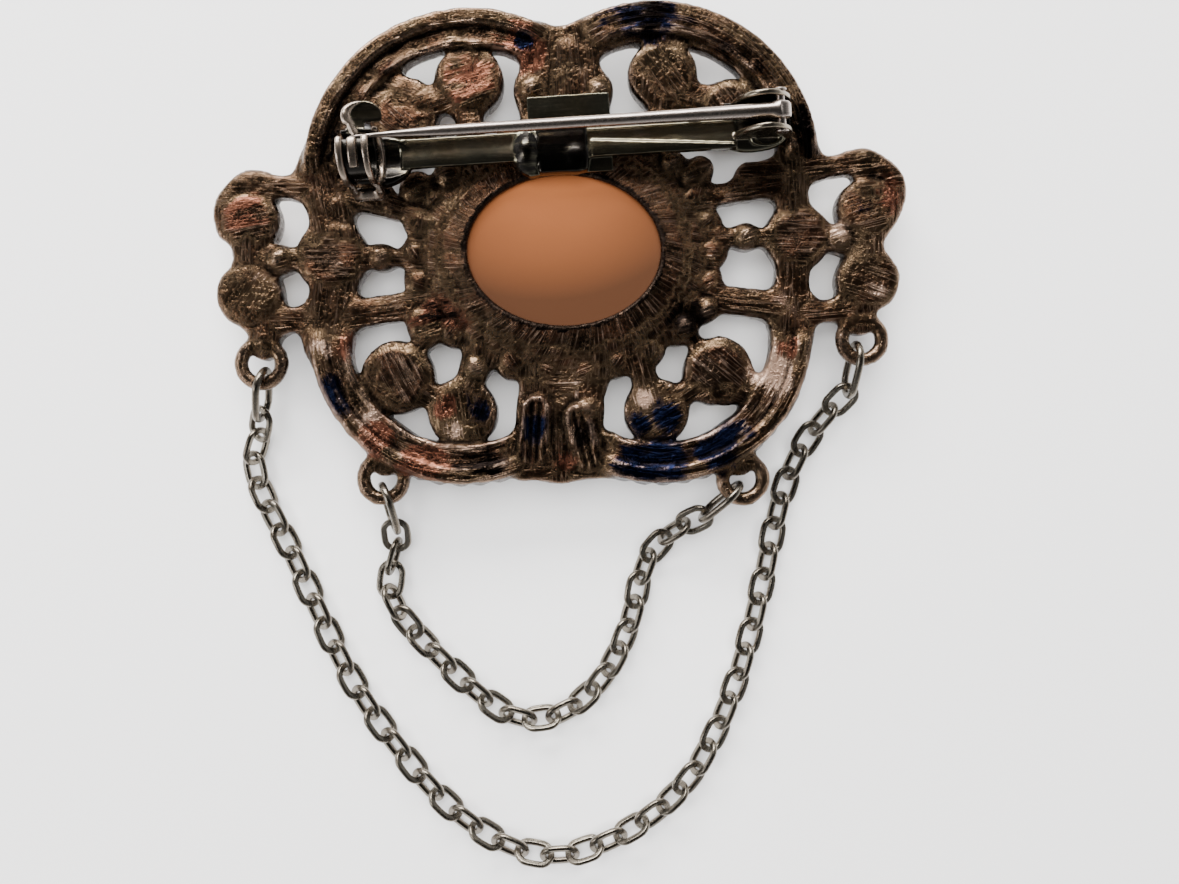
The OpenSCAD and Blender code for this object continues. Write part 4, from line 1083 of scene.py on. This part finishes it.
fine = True
casting = build_casting((0.26, 0.26, 0.38) if fine else 0.34)
cast_piece("openwork_casting", casting, "brooch_frame", "brooch", CAST_METAL, None, STAINS)
cast_piece("pin_back", build_pin_back(0.115 if fine else 0.17), "brooch_frame", "brooch", PIN_METAL, on_pin_back)
cast_piece("catch_lock_tube", build_lock(0.07 if fine else 0.1), "catch_lock", "lock", PIN_METAL, on_pin_back)

for name, x, y, _, r, *_ in CUPS:
    bead = dome_mesh(x, y, r, r, r, BEAD_BACK_Z, 36, 18)
    make_piece("pearl_bead_" + name, *bead, "pearl_" + name, "brooch", PEARL_SKIN)
large = dome_mesh(0, 0, OVAL_A, OVAL_B, OVAL_BACK_Z, OVAL_BACK_Z, 120, 40)
make_piece("pearl_oval_cabochon", *large, "pearl_oval", "brooch", PEARL_BACK)

for row in LOOPS:
    strung("jump_wire_" + row[0], JUMP, [(*jump_ends(row), row[6])], "jump_link_" + row[0])
strung("cable_chain_outer", LINK, chain_links(OUTER_ROUTE, OUTER_LEAN, *LOOPS[:2]), "chain_outer")
strung("cable_chain_inner", LINK, chain_links(INNER_ROUTE, INNER_LEAN, *LOOPS[2:]), "chain_inner")

cast_piece("pin_wire", build_stem(0.1 if fine else 0.14), "pin_stem", "pin", STEM_METAL, on_pin_back)
cast_piece("hinge_rivet_pin", build_rivet(0.08), "hinge_rivet", "brooch", STEM_METAL, on_pin_back)


# Floor, light and camera
def flat_floor(half):
    """A pale square on the ground, kept out of the part."""
    mesh = bpy.data.meshes.new("floor")
    mesh.from_pydata([(-half, -half, 0), (half, -half, 0), (half, half, 0), (-half, half, 0)], [], [(0, 1, 2, 3)])
    material, nodes, shader = new_material("pale_floor")
    nodes.fill(shader, {"Base Color": (0.86, 0.85, 0.845), "Roughness": 0.7})
    mesh.materials.append(material)
    obj = put_in_scene("floor", mesh)


def area_light(name, place, size, power, colour=(1, 1, 1)):
    """A rectangular light that shines towards the middle."""
    light = bpy.data.lights.new(name, "AREA")
    light.shape, light.size, light.size_y = "RECTANGLE", *size
    light.energy, light.color = power, colour
    obj = put_in_scene(name, light)
    obj.location = place
    x, y, z = place
    obj.rotation_euler = (math.acos(z / math.hypot(x, y, z)), 0, math.atan2(-y, -x) - math.pi / 2)
    return obj


def studio_world(low, high):
    """A soft surround: low strength overhead, high near the horizon, straight between two heights of the sky."""
    world = bpy.data.worlds.new("studio")
    world.use_nodes = True
    nodes = Nodes(world.node_tree)
    strength = nodes.ramp(nodes.split(nodes.place("Generated"))[2], 0.8, 0.1, low, high)
    nodes.fill(world.node_tree.nodes["Background"], {"Color": (0.95, 0.97, 1.0), "Strength": strength})
    bpy.context.scene.world = world


flat_floor(1.5)
area_light("window", (-0.12, 0.47, 0.31), (0.5, 0.2), 7.5, (1.0, 0.985, 0.97))
overhead = area_light("overhead", (-0.03, 0.12, 0.6), (0.6, 0.6), 11.0)
overhead.visible_glossy = False
area_light("side_fill", (-0.45, -0.1, 0.3), (0.2, 0.3), 1.2, (0.96, 0.97, 1.0))
studio_world(0.03, 0.7)

camera = bpy.data.cameras.new("camera")
camera.lens, camera.sensor_width, camera.sensor_fit = 34.99, 36.0, "HORIZONTAL"
camera.clip_start, camera.clip_end = 0.005, 10
eye = put_in_scene("camera", camera)
eye.location = (0.002867, -0.00009, 0.117)
bpy.context.scene.camera = eye
